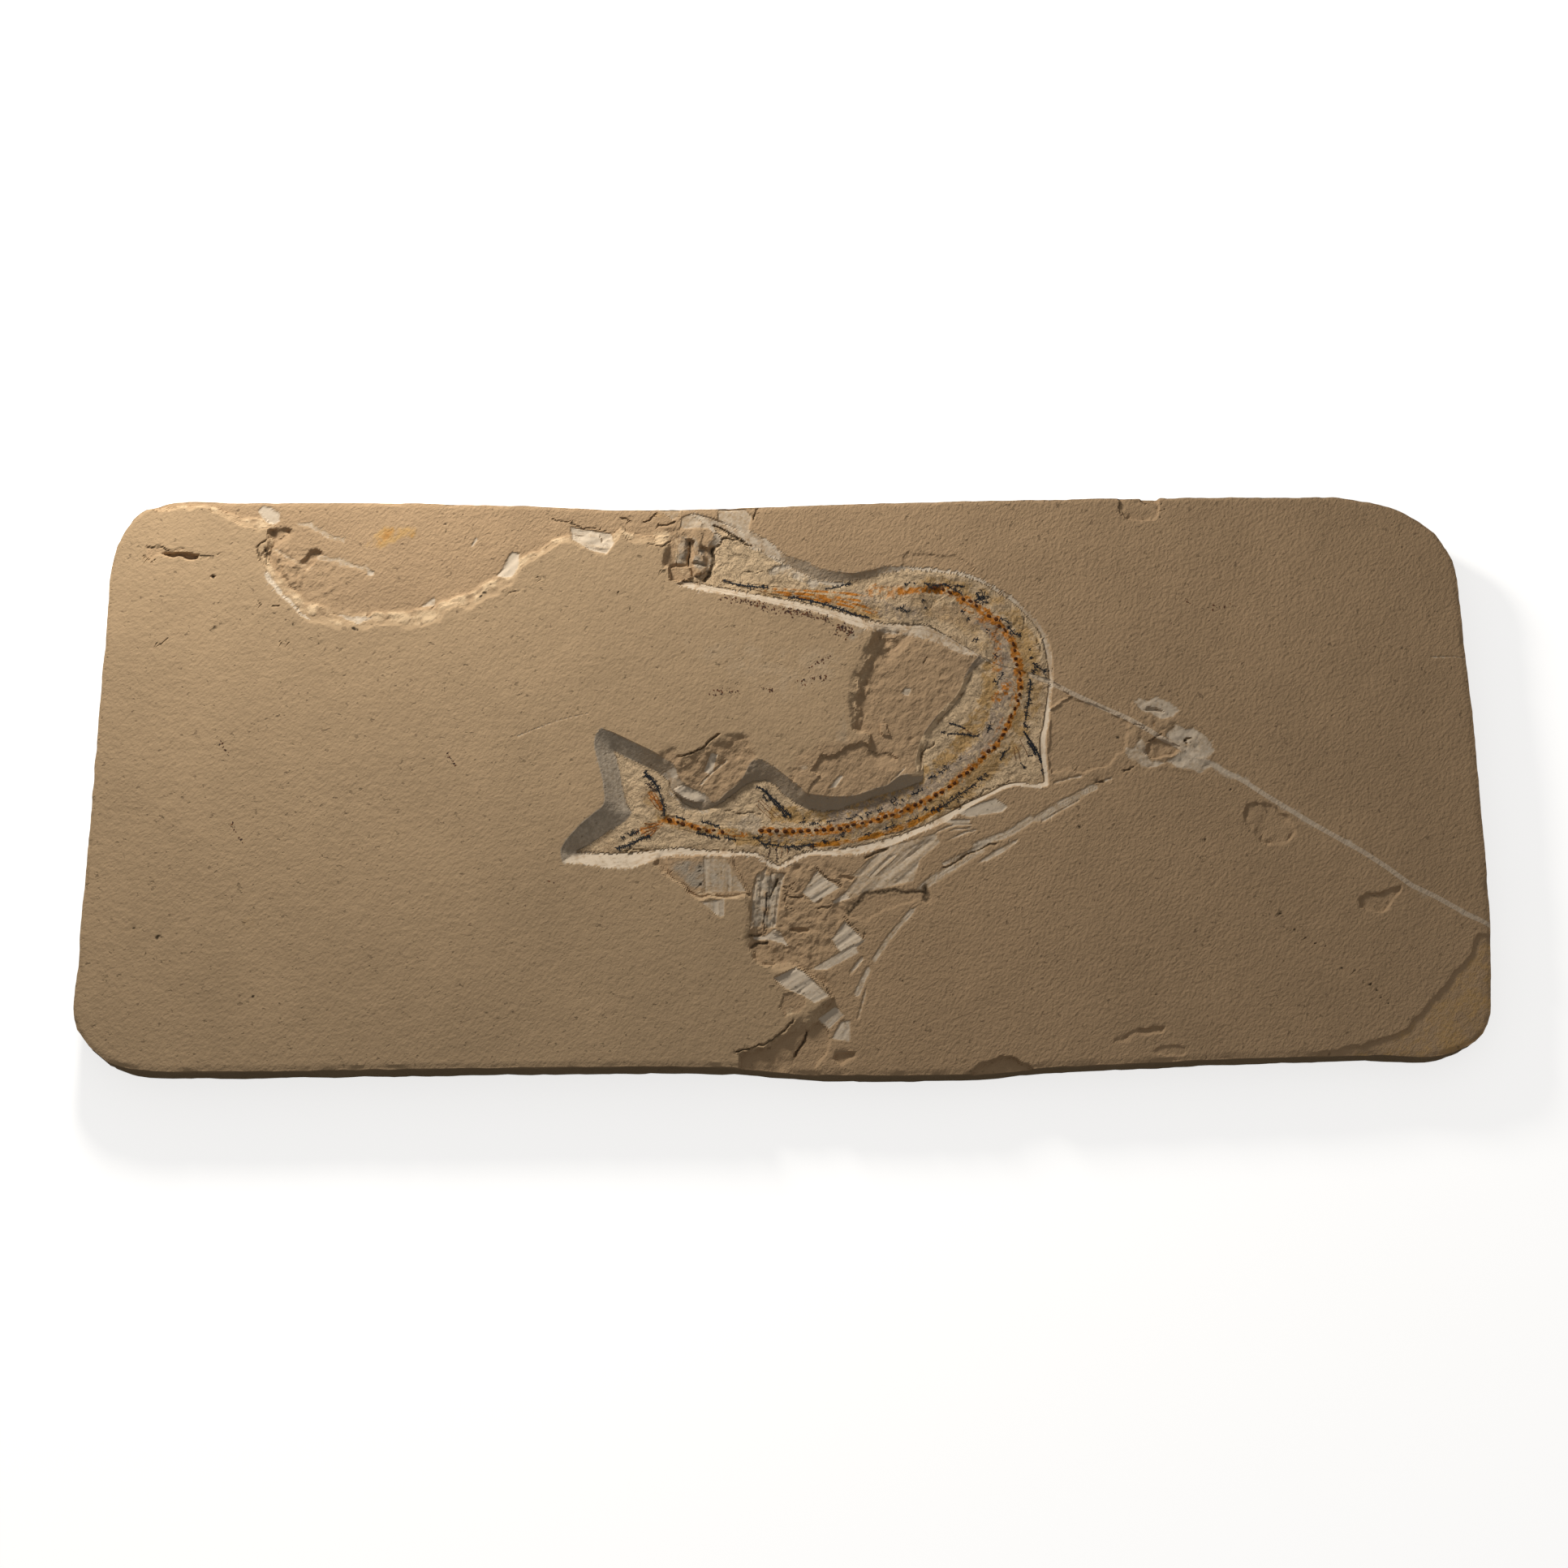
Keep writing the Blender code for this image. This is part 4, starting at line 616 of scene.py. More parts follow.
# Stains: mark, strength, softness, outline
STAINS = [
    ("ochre", 0.55, 6.0, [
        (310, -68), (297, -68), (287, -84), (279, -93), (270, -103), (250, -114), (225, -120.5),
        (215, -140), (310, -140),
    ]),
    ("ochre", 1.3, 1.0, [
        (-188, 107.5), (-186, 112), (-183, 116), (-178, 120), (-173, 119.6), (-171, 117.4),
        (-167.5, 118.4), (-164.5, 116), (-166, 113), (-171, 113), (-175, 111), (-180, 108),
    ]),
    ("stain", 0.62, 1.2, [
        (-187, 108.4), (-185, 113), (-182, 116), (-178, 119), (-173.4, 118.6), (-172, 116),
        (-177, 114), (-181, 109),
    ]),
    ("stain", 0.5, 1.0, [(-170.6, 116.6), (-167.5, 118), (-165, 115.6), (-167, 113.6), (-170.6, 114)]),
    ("ochre", 0.5, 4.0, [(-60, 119), (-60, 128), (-51, 128), (-50, 120)]),
    ("ochre", 0.3, 5.0, [(-95, 120), (-92, 128), (-62, 127), (-64, 119)]),
    ("ochre", 0.22, 6.0, [
        (-236, -60), (-230, -55), (-212, -60), (-211, -72), (-224, -76), (-236, -72),
    ]),
    ("ochre", 0.3, 3.0, [(-262, -122), (-254, -121), (-252, -127), (-262, -128)]),
    ("stain", 0.5, 1.6, [(153, 122.4), (158, 124.8), (161, 124), (158, 122), (154, 121.6)]),
    ("stain", 0.5, 2.0, [(161, 26), (160.4, 29), (163, 28), (166, 24), (164, 23.4)]),
    ("fresh_and_painted_light", 0.8, 2.0, [(-60, 110), (-60, 119), (-50, 118), (-50, 112), (-54, 110)]),
    ("fresh_and_painted_light", 0.7, 1.2, [
        (-48, -46.6), (-42, -50.6), (-37, -48), (-30, -50), (-16, -49.6), (-17, -52.4), (-30, -53),
        (-38, -52.6), (-46, -48.6),
    ]),
    ("fresh_and_painted_light", 0.6, 1.5, [(0, -99.6), (10, -99.6), (8, -104.4), (0, -104.8)]),
    ("pale", 0.35, 5.0, [(20, 13), (22, 30), (27, 45), (29, 30), (31, 20), (37, 18.4), (28, 14.6)]),
    ("pale", 0.25, 12.0, [(-60, 72), (10, 68), (36, 66), (26, 40), (0, 30), (-40, 50)]),
    ("pale", 0.8, 1.2, [(7, 4), (6.4, 7.6), (9, 9.6), (10.6, 6)]),
    ("grey", 0.9, 3.0, [(-50, -35), (-24, -34.4), (-18, -48), (-42, -49), (-50, -41)]),
    ("grey", 0.9, 1.6, [(-12, -42), (1, -41), (-1, -50), (-3.4, -66), (-15, -67), (-14, -50)]),
    ("grey", 0.8, 2.0, [(-48, 116), (-43, 115), (-42, 100), (-50, 100)]),
    ("grey", 0.6, 2.5, [(24, 66), (24, 74), (33, 73.6), (37, 70), (30, 62)]),
    ("grey", 0.8, 1.5, [(-42, 116), (-34, 108), (-34, 94), (-41, 94), (-41, 104)]),
]

# Black specks: x, y, size
BLACK_SPECKS = [
    (-268, -71, 0.9), (-283, -62, 0.5), (-278, -66, 0.6), (-272, -76, 0.5), (-225, -96, 0.9),
    (-253.4, 94.8, 0.9), (-252, 72, 0.5), (-218, 72.4, 0.7), (-220.6, 74.4, 0.6), (-205, 63, 0.6),
    (-189.6, 70, 1.4), (-187.6, 69.4, 0.8), (-157.6, 68.8, 0.6), (-132.6, 86.6, 1.2),
    (-134, 85, 0.7), (-151.6, 116, 0.7), (-151.8, 120, 0.6), (-77.2, 88, 0.5), (-67, 80.6, 0.6),
    (-36, -38.5, 0.9), (-36.4, -46, 0.9), (-35.2, -40, 0.4), (-41, -41, 0.5), (-44, -44, 0.4),
    (176.4, 16, 0.5), (175.6, 18.6, 0.7), (177.6, 18, 0.4), (54, 40.8, 0.1), (22.8, 69.4, 0.5),
    (27.2, 73.4, 0.5), (28.6, 68.6, 0.6), (30.4, 67.4, 0.5), (26.4, 66.6, 0.4),
    (157.8, -94.6, 0.5), (185, 105.5, 0.6), (129, 30.8, 0.4), (145.8, 20.6, 0.9),
    (114.6, -37.2, 0.5), (127.6, -37, 0.5), (118, -40, 0.4), (194.8, -4.2, 0.4),
    (211, -57, 0.5), (214, -60, 0.6), (219, -67, 0.7), (224, -70, 0.6), (227, -73, 0.6),
    (232, -74, 0.5), (238, -84, 0.7), (244, -84, 0.5), (249, -91, 0.6), (252, -93, 0.5),
    (254, -96, 0.6), (257, -98, 0.5), (168.6, 124, 0.4), (171, 128, 0.5), (174, 121, 0.4),
    (170, 131, 0.5), (127, -20.4, 0.7), (182.8, -26.4, 0.5), (51, -89, 0.4),
]

# The fish: middle line and half width of its body, from the tail to the nape
FLANK = [
    (-50, -18, 3.0), (-40, -20.5, 3.2), (-27, -23.3, 3.5), (-10, -23.5, 4.8), (5, -23.3, 6.2),
    (20, -22.3, 7.0), (35, -18.8, 7.6), (50, -14.2, 8.0), (62, -8.2, 8.0), (72, -1.2, 8.0),
    (82, 7, 8.2), (91, 17.5, 8.4), (97, 28, 8.4), (100, 38, 8.4), (100.5, 50, 8.2),
    (98.5, 61, 8.0), (93, 71, 7.4), (85, 79.5, 6.8), (76, 85, 6.2), (67, 87, 5.5),
]
# The line along which the vertebrae lie
SPINE = [
    (-50, -18), (-42, -20), (-32, -22.5), (-17, -24.3), (-9, -22.5), (0, -23), (10, -22.7),
    (20, -22), (30, -20), (40, -17.5), (50, -14.3), (60, -10), (70, -4.3), (75, -0.5), (80, 4),
    (85, 8.5), (90, 13.5), (93, 16.5), (96, 21), (98, 25), (100, 30), (102, 35), (103.5, 40),
    (104, 45), (104, 50), (103.5, 54), (102.5, 58), (101.5, 62), (100, 66), (97, 70),
    (95, 73), (92, 76), (88, 79), (85, 81.5), (80, 84.5), (75, 87), (72, 89), (67.3, 89.8),
]
# The head and its jaws: middle line and half width
HEAD = [
    (-27, 93.2, 0.7), (-20, 91.6, 1.2), (-10, 89.4, 1.9), (0, 87.8, 2.6), (10, 86.6, 3.2),
    (20, 85.2, 4.0), (30, 84, 5.2), (38, 83.2, 7.0), (46, 82.6, 8.4), (54, 82.4, 8.6),
    (61, 83.6, 7.2), (66, 85, 5.2),
]
# How strongly the skins of body and head swell, and how far the stone is sunk below them
BODY_RISE = 0.5
HEAD_RISE = 0.6
BED_SINK = 0.5
# Where the bed rises towards the wall on the outside of the bend: x, y, rise
OUTER_BEND = [
    (-32, 118, 0.8), (-22, 114.5, 1.2), (-10, 107.2, 1.4), (-3, 104, 1.3), (3, 101, 0.3),
    (8, 98, 0), (24, 91, 0), (32, 93.4, 0.3), (40, 95.5, 0.4), (45, 97.4, 0.8), (52, 98.8, 1.3),
    (60, 98, 1.7),
    (70, 97.4, 1.95), (80, 95.6, 1.95), (86, 93.4, 1.7), (95, 88.2, 1.4), (104, 81.2, 1.3),
    (110.8, 73.4, 1.3), (115.2, 64, 1.2), (117, 54, 0.6), (116.6, 46, 0),
]
OUTER_BEND_REACH = 16.0

# Coloured bands on and beside the fish: mark, strength, half width, size of its breaks, line
FISH_BANDS = [
    ("lilac", 0.95, 3.6, 0.9, [
        (22, -17), (35, -13.4), (50, -8.6), (60, -4.4), (70, 2.4), (80, 9.6), (88, 17), (92, 25),
        (95, 33), (98, 42), (98, 52), (96, 60), (95, 68), (88, 74),
    ]),
    ("lilac", 0.6, 2.0, 0.8, [(-8, -25.8), (6, -26.2), (20, -25.4), (36, -22), (50, -18), (62, -12)]),
    ("ochre", 0.9, 3.6, 1.8, [
        (-4, -15), (8, -15.6), (18, -15.6), (30, -13.6), (40, -9.6), (50, -6.4), (58, -2), (66, 5),
        (72, 10), (77, 16),
        (80.6, 22), (85, 28), (88.4, 34), (90, 42), (90.6, 52),
    ]),
    ("ochre", 0.85, 3.0, 2.4, [
        (-20, -26.6), (-10, -27), (10, -26.6), (30, -23.4), (50, -17.6), (62, -13),
    ]),
    ("ochre", 0.75, 5.5, 3.0, [
        (60, -14), (72, -8), (84, 2), (96, 14), (104, 26), (108, 40), (108, 54), (104, 66),
    ]),
    ("ochre", 0.65, 3.4, 3.0, [(110, 60), (106, 70), (99, 79), (88, 86), (76, 91), (62, 92)]),
    ("ochre", 0.4, 6.0, 3.0, [(62, 82), (72, 80), (82, 74), (88, 66)]),
    ("stain", 1.0, 1.2, 4.0, [
        (12, -29.4), (20, -28.5), (28, -27.4), (35, -26), (42, -24), (50, -21.4), (57, -18.8),
        (64, -15), (68, -12.2),
    ]),
    ("ochre", 0.8, 2.6, 2.0, [(-52, -17.4), (-42, -20), (-30, -23), (-17, -24.4)]),
    ("bone", 0.9, 1.4, 1.1, [
        (-52, -17.4), (-47, -18.6), (-42, -20), (-37, -21.5), (-32, -22.5), (-24, -23.6),
        (-17, -24.4),
    ]),
    ("bone", 1.0, 1.4, 1.2, [(-10, -22.4), (0, -22.8), (10, -22.6), (20, -21.8)]),
    ("bone", 0.75, 0.9, 0.9, [(-8, -24.2), (2, -24.6), (12, -24.2), (20, -23.6), (30, -22.4)]),
    ("bone", 1.0, 2.0, 1.0, [
        (20, -22), (25, -21.4), (30, -20.2), (35, -19), (40, -17.6), (45, -16), (50, -14.3),
        (55, -12.6), (60, -10),
    ]),
    ("bone", 1.0, 1.35, 1.2, [
        (60, -10), (65, -7), (70, -4.3), (75, -0.5), (80, 4), (85, 8.5), (90, 13.5), (93, 16.5),
        (96, 21), (98, 25), (100, 30), (102, 35), (103.5, 40), (104, 45), (104, 50),
    ]),
    ("bone", 0.6, 0.8, 0.9, [
        (72, -0.8), (80, 6.4), (88, 14.6), (94, 24), (99, 34), (101.4, 42), (101.6, 50),
    ]),
    ("bone", 0.8, 2.2, 0.8, [(93.4, 38), (96.6, 41), (98, 44)]),
    ("bone", 1.0, 2.2, 1.2, [
        (104, 50), (103.5, 54), (102.5, 58), (101.5, 62), (100, 66), (97, 70), (95, 73),
        (92, 76), (88, 79), (85, 81.5), (80, 84.5), (75, 87), (72, 89), (68, 89.6),
    ]),
    ("bone", 0.6, 2.4, 0.9, [(94, 52), (94.4, 60), (92.6, 68), (86, 78), (80, 82)]),
    ("bone", 0.9, 1.7, 0.9, [(68, 89.4), (60, 88.8), (52, 88.2)]),
    ("bone", 0.6, 3.2, 0.9, [(52, 87.8), (46, 88), (40, 88.6)]),
    ("lilac", 0.6, 4.0, 1.2, [(31, 87), (37, 84), (44, 80), (52, 78.4), (58, 77.6)]),
    ("lilac", 0.35, 4.0, 2.4, [(60, 83), (70, 81), (80, 76)]),
    ("pale", 0.8, 3.6, 1.6, [(-20, -21), (-15, -18.6), (-12.6, -21.6), (-16, -23)]),
    ("bone", 0.95, 0.6, 2.6, [(-10, 88.6), (0, 87.6), (12, 86.6), (24, 85.4), (34, 83.6)]),
    ("bone", 0.85, 0.55, 2.6, [(-8, 89.8), (4, 89), (16, 88.2), (28, 87.2), (36, 86)]),
    ("bone", 0.95, 0.6, 2.2, [(0, 86.6), (12, 84.6), (24, 82.2), (34, 79.6), (40, 77.2)]),
    ("bone", 0.9, 0.6, 2.2, [(14, 85.4), (26, 83.4), (36, 80.8), (41, 78.4)]),
    ("ochre", 0.5, 3.2, 3.0, [(-10, 88.6), (10, 85.6), (28, 82.4), (40, 78.4)]),
    ("ochre", 0.8, 1.6, 4.0, [(30, 79), (36, 77), (42, 76.6)]),
    ("ochre", 0.5, 2.5, 3.0, [(77, 24), (83, 21.4), (84, 19)]),
    ("ochre", 0.5, 3.0, 2.0, [(-58, -8), (-54, -14), (-58, -21), (-64, -26)]),
    # painted highlight: a lit facet along the foot of the wall at the snout, laid on with the planed colour
    ("planed_and_highlight", 0.95, 1.0, 2.0, [
        (-15, 109.8), (-10, 107.4), (-5, 104.4), (0, 101.2), (5, 98.4), (10, 95.8), (14, 93.6),
        (20, 92), (26, 91.8),
    ]),
    ("bone", 0.6, 1.5, 0.9, [(-53, -13), (-56, -9), (-58, -6)]),
    ("bone", 0.6, 2.0, 0.9, [(-54, -20), (-58, -21.6), (-63, -23)]),
    ("planed_and_highlight", 0.8, 0.6, 2.0, [(84, 58.6), (90, 55.2), (96, 52.2)]),
    ("planed_and_highlight", 0.7, 0.8, 1.6, [(-50, -5), (-45, -9.6), (-40, -12.6), (-33, -13.8)]),
    ("planed_and_highlight", 0.6, 0.6, 1.6, [(-46, -11.4), (-40, -14), (-35, -14.8)]),
    # partly the planed stone's own pale colour, partly painted highlight on a facet that catches the light
    ("planed_and_highlight", 0.9, 2.4, 2.4, [(-4, 97.8), (2, 97.8), (8, 95), (13, 92.8)]),
    ("planed_and_highlight", 0.8, 0.7, 1.6, [(117, 46), (111, 48), (104, 50.4), (98, 51.8), (93, 53.4)]),
]
# How evenly each colour covers its bands, 0.75 where nothing else is said
EVENNESS = {"bone": 0.65, "stain": 1.0, "ochre": 0.9}

# The vertebrae: how far apart, between which values of x they are missing, and where all are clear
BEAD_PITCH = 3.4
BEAD_GAP = (-22, -11)
CLEAR_BEADS = (-12, 22)

# The mended break: mortar from the right edge to the fish, then a tight joint to the back edge
BREAK_LINE = [
    (312, -67), (303, -64), (295, -61), (290, -58), (280, -52), (270, -47), (260, -39),
    (250, -32), (240, -26), (230, -20), (220, -13.5), (210, -7), (200, 0), (190, 5.5),
    (180, 11), (170, 17), (165, 19.5), (160, 23), (155, 26), (150, 29), (140, 33.5),
    (130, 38.5), (125, 41), (118, 45), (111, 48), (104, 50.6), (100.4, 51), (97, 52),
    (91.5, 54), (84, 59.5), (72, 67), (60, 70.5), (48, 70.8), (38, 71.8), (20, 77.6),
    (0, 82), (-20, 86.5), (-38, 90.7), (-48, 98), (-47.5, 110), (-46, 124), (-45, 145),
]
# The tight joint begins at this place of the line
TIGHT_FROM = 26
# The corners that close the block beyond the break
BEYOND_UPPER_RIGHT = [(-45, 165), (330, 160), (330, -66)]
# Half of the mortar's width and of the tight joint's
HALF_MORTAR = 1.1
HALF_JOINT = 0.04
# How far the blocks for cutting stand out above and below the slab
BLOCK_EXCESS = 2.0

# Cells of the skins, and the length of the spindles that make up a stem, in millimetres
FILM_CELL = 0.6
STEM_PITCH = 0.8

# Dendrites: thickness, length of their twigs, line
DENDRITES = [
    (0.9, 1.0, [(-10, -28.5), (-5, -29), (0, -30), (5, -29.8), (9, -29.4), (13, -28.5)]),
    (0.5, 0.8, [(-14, -25.4), (-11.6, -26.2), (-9.4, -24.8)]),
    (0.5, 0.7, [(-36, -18.6), (-32, -19.6), (-28, -20.6)]),
    (0.5, 0.7, [(-38, -23.6), (-33, -24.8), (-28, -25.8)]),
    (0.4, 0.6, [(-26, -25.6), (-21, -26.6)]),
    (0.4, 0.6, [(-47, -16.4), (-43, -17.6)]),
    (0.3, 0.5, [(17, -27.7), (19, -27.3)]),
    (0.35, 0.6, [(22.4, -27.2), (24, -26.6)]),
    (0.4, 0.6, [(24.6, -24.6), (26.6, -23.4)]),
    (0.3, 0.5, [(35, -24.6), (38, -23.8)]),
    (0.5, 0.7, [(43, -22.2), (46, -20.8), (48, -20.2)]),
    (0.5, 0.7, [(53, -18.4), (56, -17.6), (58, -17)]),
    (0.7, 1.0, [(63.6, -13.6), (66, -13), (69, -11.4), (72, -9.5), (76, -6.8)]),
    (0.6, 0.9, [(76, -6.5), (80, -3.8), (83.6, -1.8)]),
    (0.6, 0.8, [(84.6, 0.4), (86.4, 1.8), (88.4, 3.6)]),
    (0.6, 0.8, [(94.4, 9.6), (95.6, 11.6), (96.8, 13.8)]),
    (0.4, 0.6, [(60.4, -13.4), (61.6, -12.8)]),
    (0.5, 0.7, [(6, -19.2), (9, -18.6)]),
    (0.5, 0.8, [(11, -19.8), (15, -19.6)]),
    (0.3, 0.6, [(18.6, -18.6), (22, -18.2)]),
    (0.3, 0.5, [(27, -17.4), (30, -16.8)]),
    (0.6, 0.9, [(31, -15.2), (32.6, -16), (34, -16.8)]),
    (0.5, 0.8, [(35.4, -14.4), (36.6, -15.6)]),
    (0.4, 0.6, [(40.6, -13.8), (43, -12.8)]),
    (0.6, 0.8, [(46.6, -10.2), (48.6, -9.4)]),
    (0.5, 0.7, [(51, -8.8), (53.4, -9)]),
    (0.4, 0.7, [(55.6, -6.4), (58, -5.2), (60.6, -4.2)]),
    (0.3, 0.7, [(63, 1), (66, 2.6)]),
    (0.4, 0.9, [(67.6, 3.6), (70, 5), (72.4, 6)]),
    (0.3, 0.4, [(76.6, 9.8), (77.2, 10)]),
    (0.8, 0.7, [(89.2, 21.8), (89.8, 24), (90.8, 25.8)]),
    (0.6, 0.8, [(94, 44), (94.6, 46.6), (96, 48.4), (96.6, 50.4)]),
    (0.6, 0.7, [(93.2, 58.8), (94, 57.4)]),
    (0.5, 0.6, [(89.8, 70.4), (90.6, 69.2)]),
    (0.6, 0.8, [(84, 65.8), (85.2, 65)]),
    (0.6, 0.8, [(81.4, 75.6), (82.6, 74.8)]),
    (0.3, 0.5, [(79, 79.2), (79.8, 78.6)]),
    (0.3, 0.5, [(61.8, 84.6), (62.2, 83.4)]),
    (0.3, 0.4, [(62.6, 80.6), (63.4, 80)]),
    (0.5, 0.8, [(50, 79.6), (52, 80.4), (54.6, 78.2)]),
    (0.8, 0.8, [(108.6, 47), (108.4, 43), (108, 40), (107.4, 36), (106.6, 31.6), (106, 28)]),
    (0.6, 0.8, [(105, 26.4), (106, 25.6), (107, 23.8)]),
    (0.8, 1.0, [(110, 54.6), (111.4, 53), (113.6, 51.6), (115.8, 50.4)]),
    (0.6, 0.8, [(109, 51), (112, 51.2)]),
    (0.3, 0.4, [(108.4, 60.8), (108.8, 60.2)]),
    (0.3, 0.4, [(108.8, 57.2), (109.4, 56.6)]),
    (0.7, 1.0, [(96, 75.6), (98, 74.4), (100, 73)]),
    (0.7, 1.0, [(99, 71.6), (100.6, 70), (102.4, 68), (105, 67.6)]),
    (1.0, 1.4, [(85.6, 87.6), (87, 85.4), (88.6, 82.8)]),
    (0.7, 1.2, [(84.6, 83.6), (87, 84.6), (89, 86)]),
    (0.4, 0.5, [(76, 90.6), (78, 90.8), (80, 90.2)]),
    (0.5, 0.8, [(64.6, 89.8), (68, 91), (71, 91.6)]),
    (0.6, 0.9, [(71, 91.6), (73.6, 90.4), (76, 88.8), (79, 87)]),
    (0.4, 0.6, [(53.6, 91.6), (55.4, 91.8)]),
    (0.4, 0.6, [(57.6, 92), (58.6, 91.6)]),
    (0.3, 0.6, [(62.4, 92), (64.6, 91.6)]),
    (0.7, 0.5, [(-27, 93.4), (-22, 92), (-17, 90.8), (-12, 90.4), (-7, 90)]),
    (0.3, 0.9, [(-17, 90.8), (-15, 90.4)]),
    (1.3, 0.6, [(2, 85.8), (8, 84.6), (14, 83.2), (20, 81.5), (27, 79), (33, 76.8), (38, 75.8)]),
    (0.5, 0.5, [(18.4, 89.6), (23, 90), (27, 91.5), (30, 92)]),
    (0.4, 0.6, [(76, -13.4), (77, -12.6)]),
    (0.3, 0.5, [(103.2, 8.4), (104, 7), (105.2, 5.8)]),
    (0.4, 0.5, [(106.6, 11.4), (109, 11.6)]),
    (0.3, 0.5, [(112.4, 5), (113.2, 3.6)]),
]
# Trails of tiny brown and black specks: how many, how far they stray, line
SPECK_TRAILS = [
    (150, 2.0, [(-10, 80.6), (0, 79), (10, 77.4), (20, 74.6)]),
    (50, 1.4, [(-28, 85), (-10, 81.4)]),
    (70, 2.6, [(23, 70.4), (28, 70), (29, 67)]),
    (26, 1.4, [(-34, 39), (-27, 41), (-20, 40.4)]),
    (26, 1.6, [(6, 45), (12, 46), (19, 47.6)]),
    (20, 1.4, [(12, 53), (20, 57.6)]),
    (14, 0.9, [(-10, 43), (-5, 41.4)]),
    (10, 0.8, [(-101, -45.6), (-96, -46)]),
    (12, 0.8, [(-246, 18), (-242, 12)]),
    (12, 0.7, [(-148, 14), (-143, 7)]),
    (14, 1.2, [(-240, -18), (-231, -31)]),
    (16, 1.2, [(178, 84.4), (186, 80), (200, 82)]),
]
# Rays of the fins: thickness, share of orange, twig length, line
TAIL_RAYS = [
    (0.42, 0.0, 0.7, [(-52, -16), (-52.6, -11), (-53.6, -7), (-56, -2), (-58.4, 1.4), (-61, 4)]),
    (0.34, 0.0, 0.6, [(-54.4, -4), (-57, 0), (-60.6, 2.4)]),
    (0.26, 0.1, 0.5, [(-55.6, -5), (-58.2, -2.6), (-60, -1)]),
    (0.30, 1.0, 0.0, [(-53, -13.4), (-55.6, -9), (-57.8, -5.6)]),
    (0.26, 1.0, 0.0, [(-53.6, -12.6), (-56.4, -8.6), (-58.8, -6)]),
    (0.24, 1.0, 0.0, [(-53, -11.8), (-54.6, -8.6), (-56.4, -5.4)]),
    (0.22, 0.8, 0.0, [(-54.4, -13.4), (-57.4, -9.6), (-59.2, -7.6)]),
    (0.30, 1.0, 0.0, [(-54.6, -20), (-58, -21), (-61.4, -22)]),
    (0.30, 1.0, 0.0, [(-55, -21), (-58.4, -22.6), (-62, -24.2)]),
    (0.28, 1.0, 0.0, [(-55.4, -22), (-58.6, -24), (-60.4, -25)]),
    (0.26, 1.0, 0.0, [(-54.8, -19.4), (-57.6, -19.6), (-60.6, -19.4)]),
    (0.26, 0.9, 0.0, [(-55.6, -22.8), (-57, -24.2), (-58, -25)]),
    (0.22, 0.9, 0.0, [(-60, -21.4), (-62, -22), (-64, -23.6)]),
    (0.45, 0.0, 0.9, [(-63, -22.4), (-65, -24), (-67, -24.6)]),
    (0.30, 0.0, 0.6, [(-69, -25.6), (-70.6, -26)]),
    (0.62, 0.0, 0.8, [(-58, -25), (-62, -26.6), (-66, -28.6), (-69.4, -30), (-72.4, -30.6)]),
]
DORSAL_RAYS = [
    (0.50, 0.0, 0.7, [(-12, -2.8), (-9, -4), (-6, -7), (-3, -10.2), (0, -13.4), (3, -16.4)]),
    (0.32, 0.0, 0.5, [(-8.6, -4.4), (-5, -9.2), (-1.6, -13), (1, -16.6)]),
    (0.24, 0.0, 0.4, [(-9.4, -6.6), (-7.2, -9.2)]),
    (0.16, 0.5, 0.0, [(-11.4, -9), (-8, -12.6), (-3.6, -17.2)]),
    (0.14, 0.5, 0.0, [(-10, -8.6), (-6, -12.6), (-1.4, -17)]),
    (0.14, 0.6, 0.0, [(-12.4, -11), (-8.6, -14.6), (-5, -18)]),
]
ANAL_RAYS = [
    (0.22, 0.1, 0.4, [(-3.4, -30), (-3.2, -33.4), (-3, -36.6)]),
    (0.18, 0.2, 0.3, [(-6, -29.6), (-6.2, -32), (-6.8, -34.4)]),
    (0.16, 0.5, 0.0, [(-1, -30.2), (-1, -32.6), (-1.6, -35)]),
    (0.16, 0.5, 0.0, [(1.4, -30.4), (1.6, -32), (1.4, -33.2)]),
]
INNER_PELVIC_RAYS = [
    (0.40, 0.0, 0.4, [(72.4, 26.4), (76, 25.4), (79.4, 24)]),
    (0.42, 0.0, 0.5, [(71.6, 21.6), (76, 21.6), (80.6, 21), (82.4, 20.6)]),
    (0.16, 0.4, 0.0, [(78, 24.4), (81, 22.4), (83.6, 20.8)]),
    (0.30, 0.0, 0.4, [(68.8, 22.2), (70.2, 22)]),
    (0.30, 0.0, 0.4, [(82.2, 20.4), (84.6, 20.6), (85.4, 20.8)]),
]
OUTER_PELVIC_RAYS = [
    (0.62, 0.0, 0.4, [(105, 22.6), (107.4, 19), (109.6, 15.4), (111.4, 11.6), (112.4, 8)]),
    (0.55, 0.0, 0.7, [(106.4, 18), (108.4, 15.4), (110.2, 12)]),
    (0.15, 0.5, 0.0, [(101.4, 16), (102.6, 13), (103.4, 9)]),
    (0.15, 0.5, 0.0, [(100.4, 15.4), (101, 12), (101.2, 9)]),
    (0.15, 0.5, 0.0, [(103.4, 18.6), (105.4, 14.6), (106.8, 11)]),
]

# Each fin's piece, its rays and the node it stands for
FINS = [
    ("tail_rays", TAIL_RAYS, "tail_fin"),
    ("dorsal_rays", DORSAL_RAYS, "dorsal_fin"),
    ("anal_rays", ANAL_RAYS, "anal_fin"),
    ("inner_pelvic_rays", INNER_PELVIC_RAYS, "pelvic_fin_inner"),
    ("outer_pelvic_rays", OUTER_PELVIC_RAYS, "pelvic_fin_outer"),
]

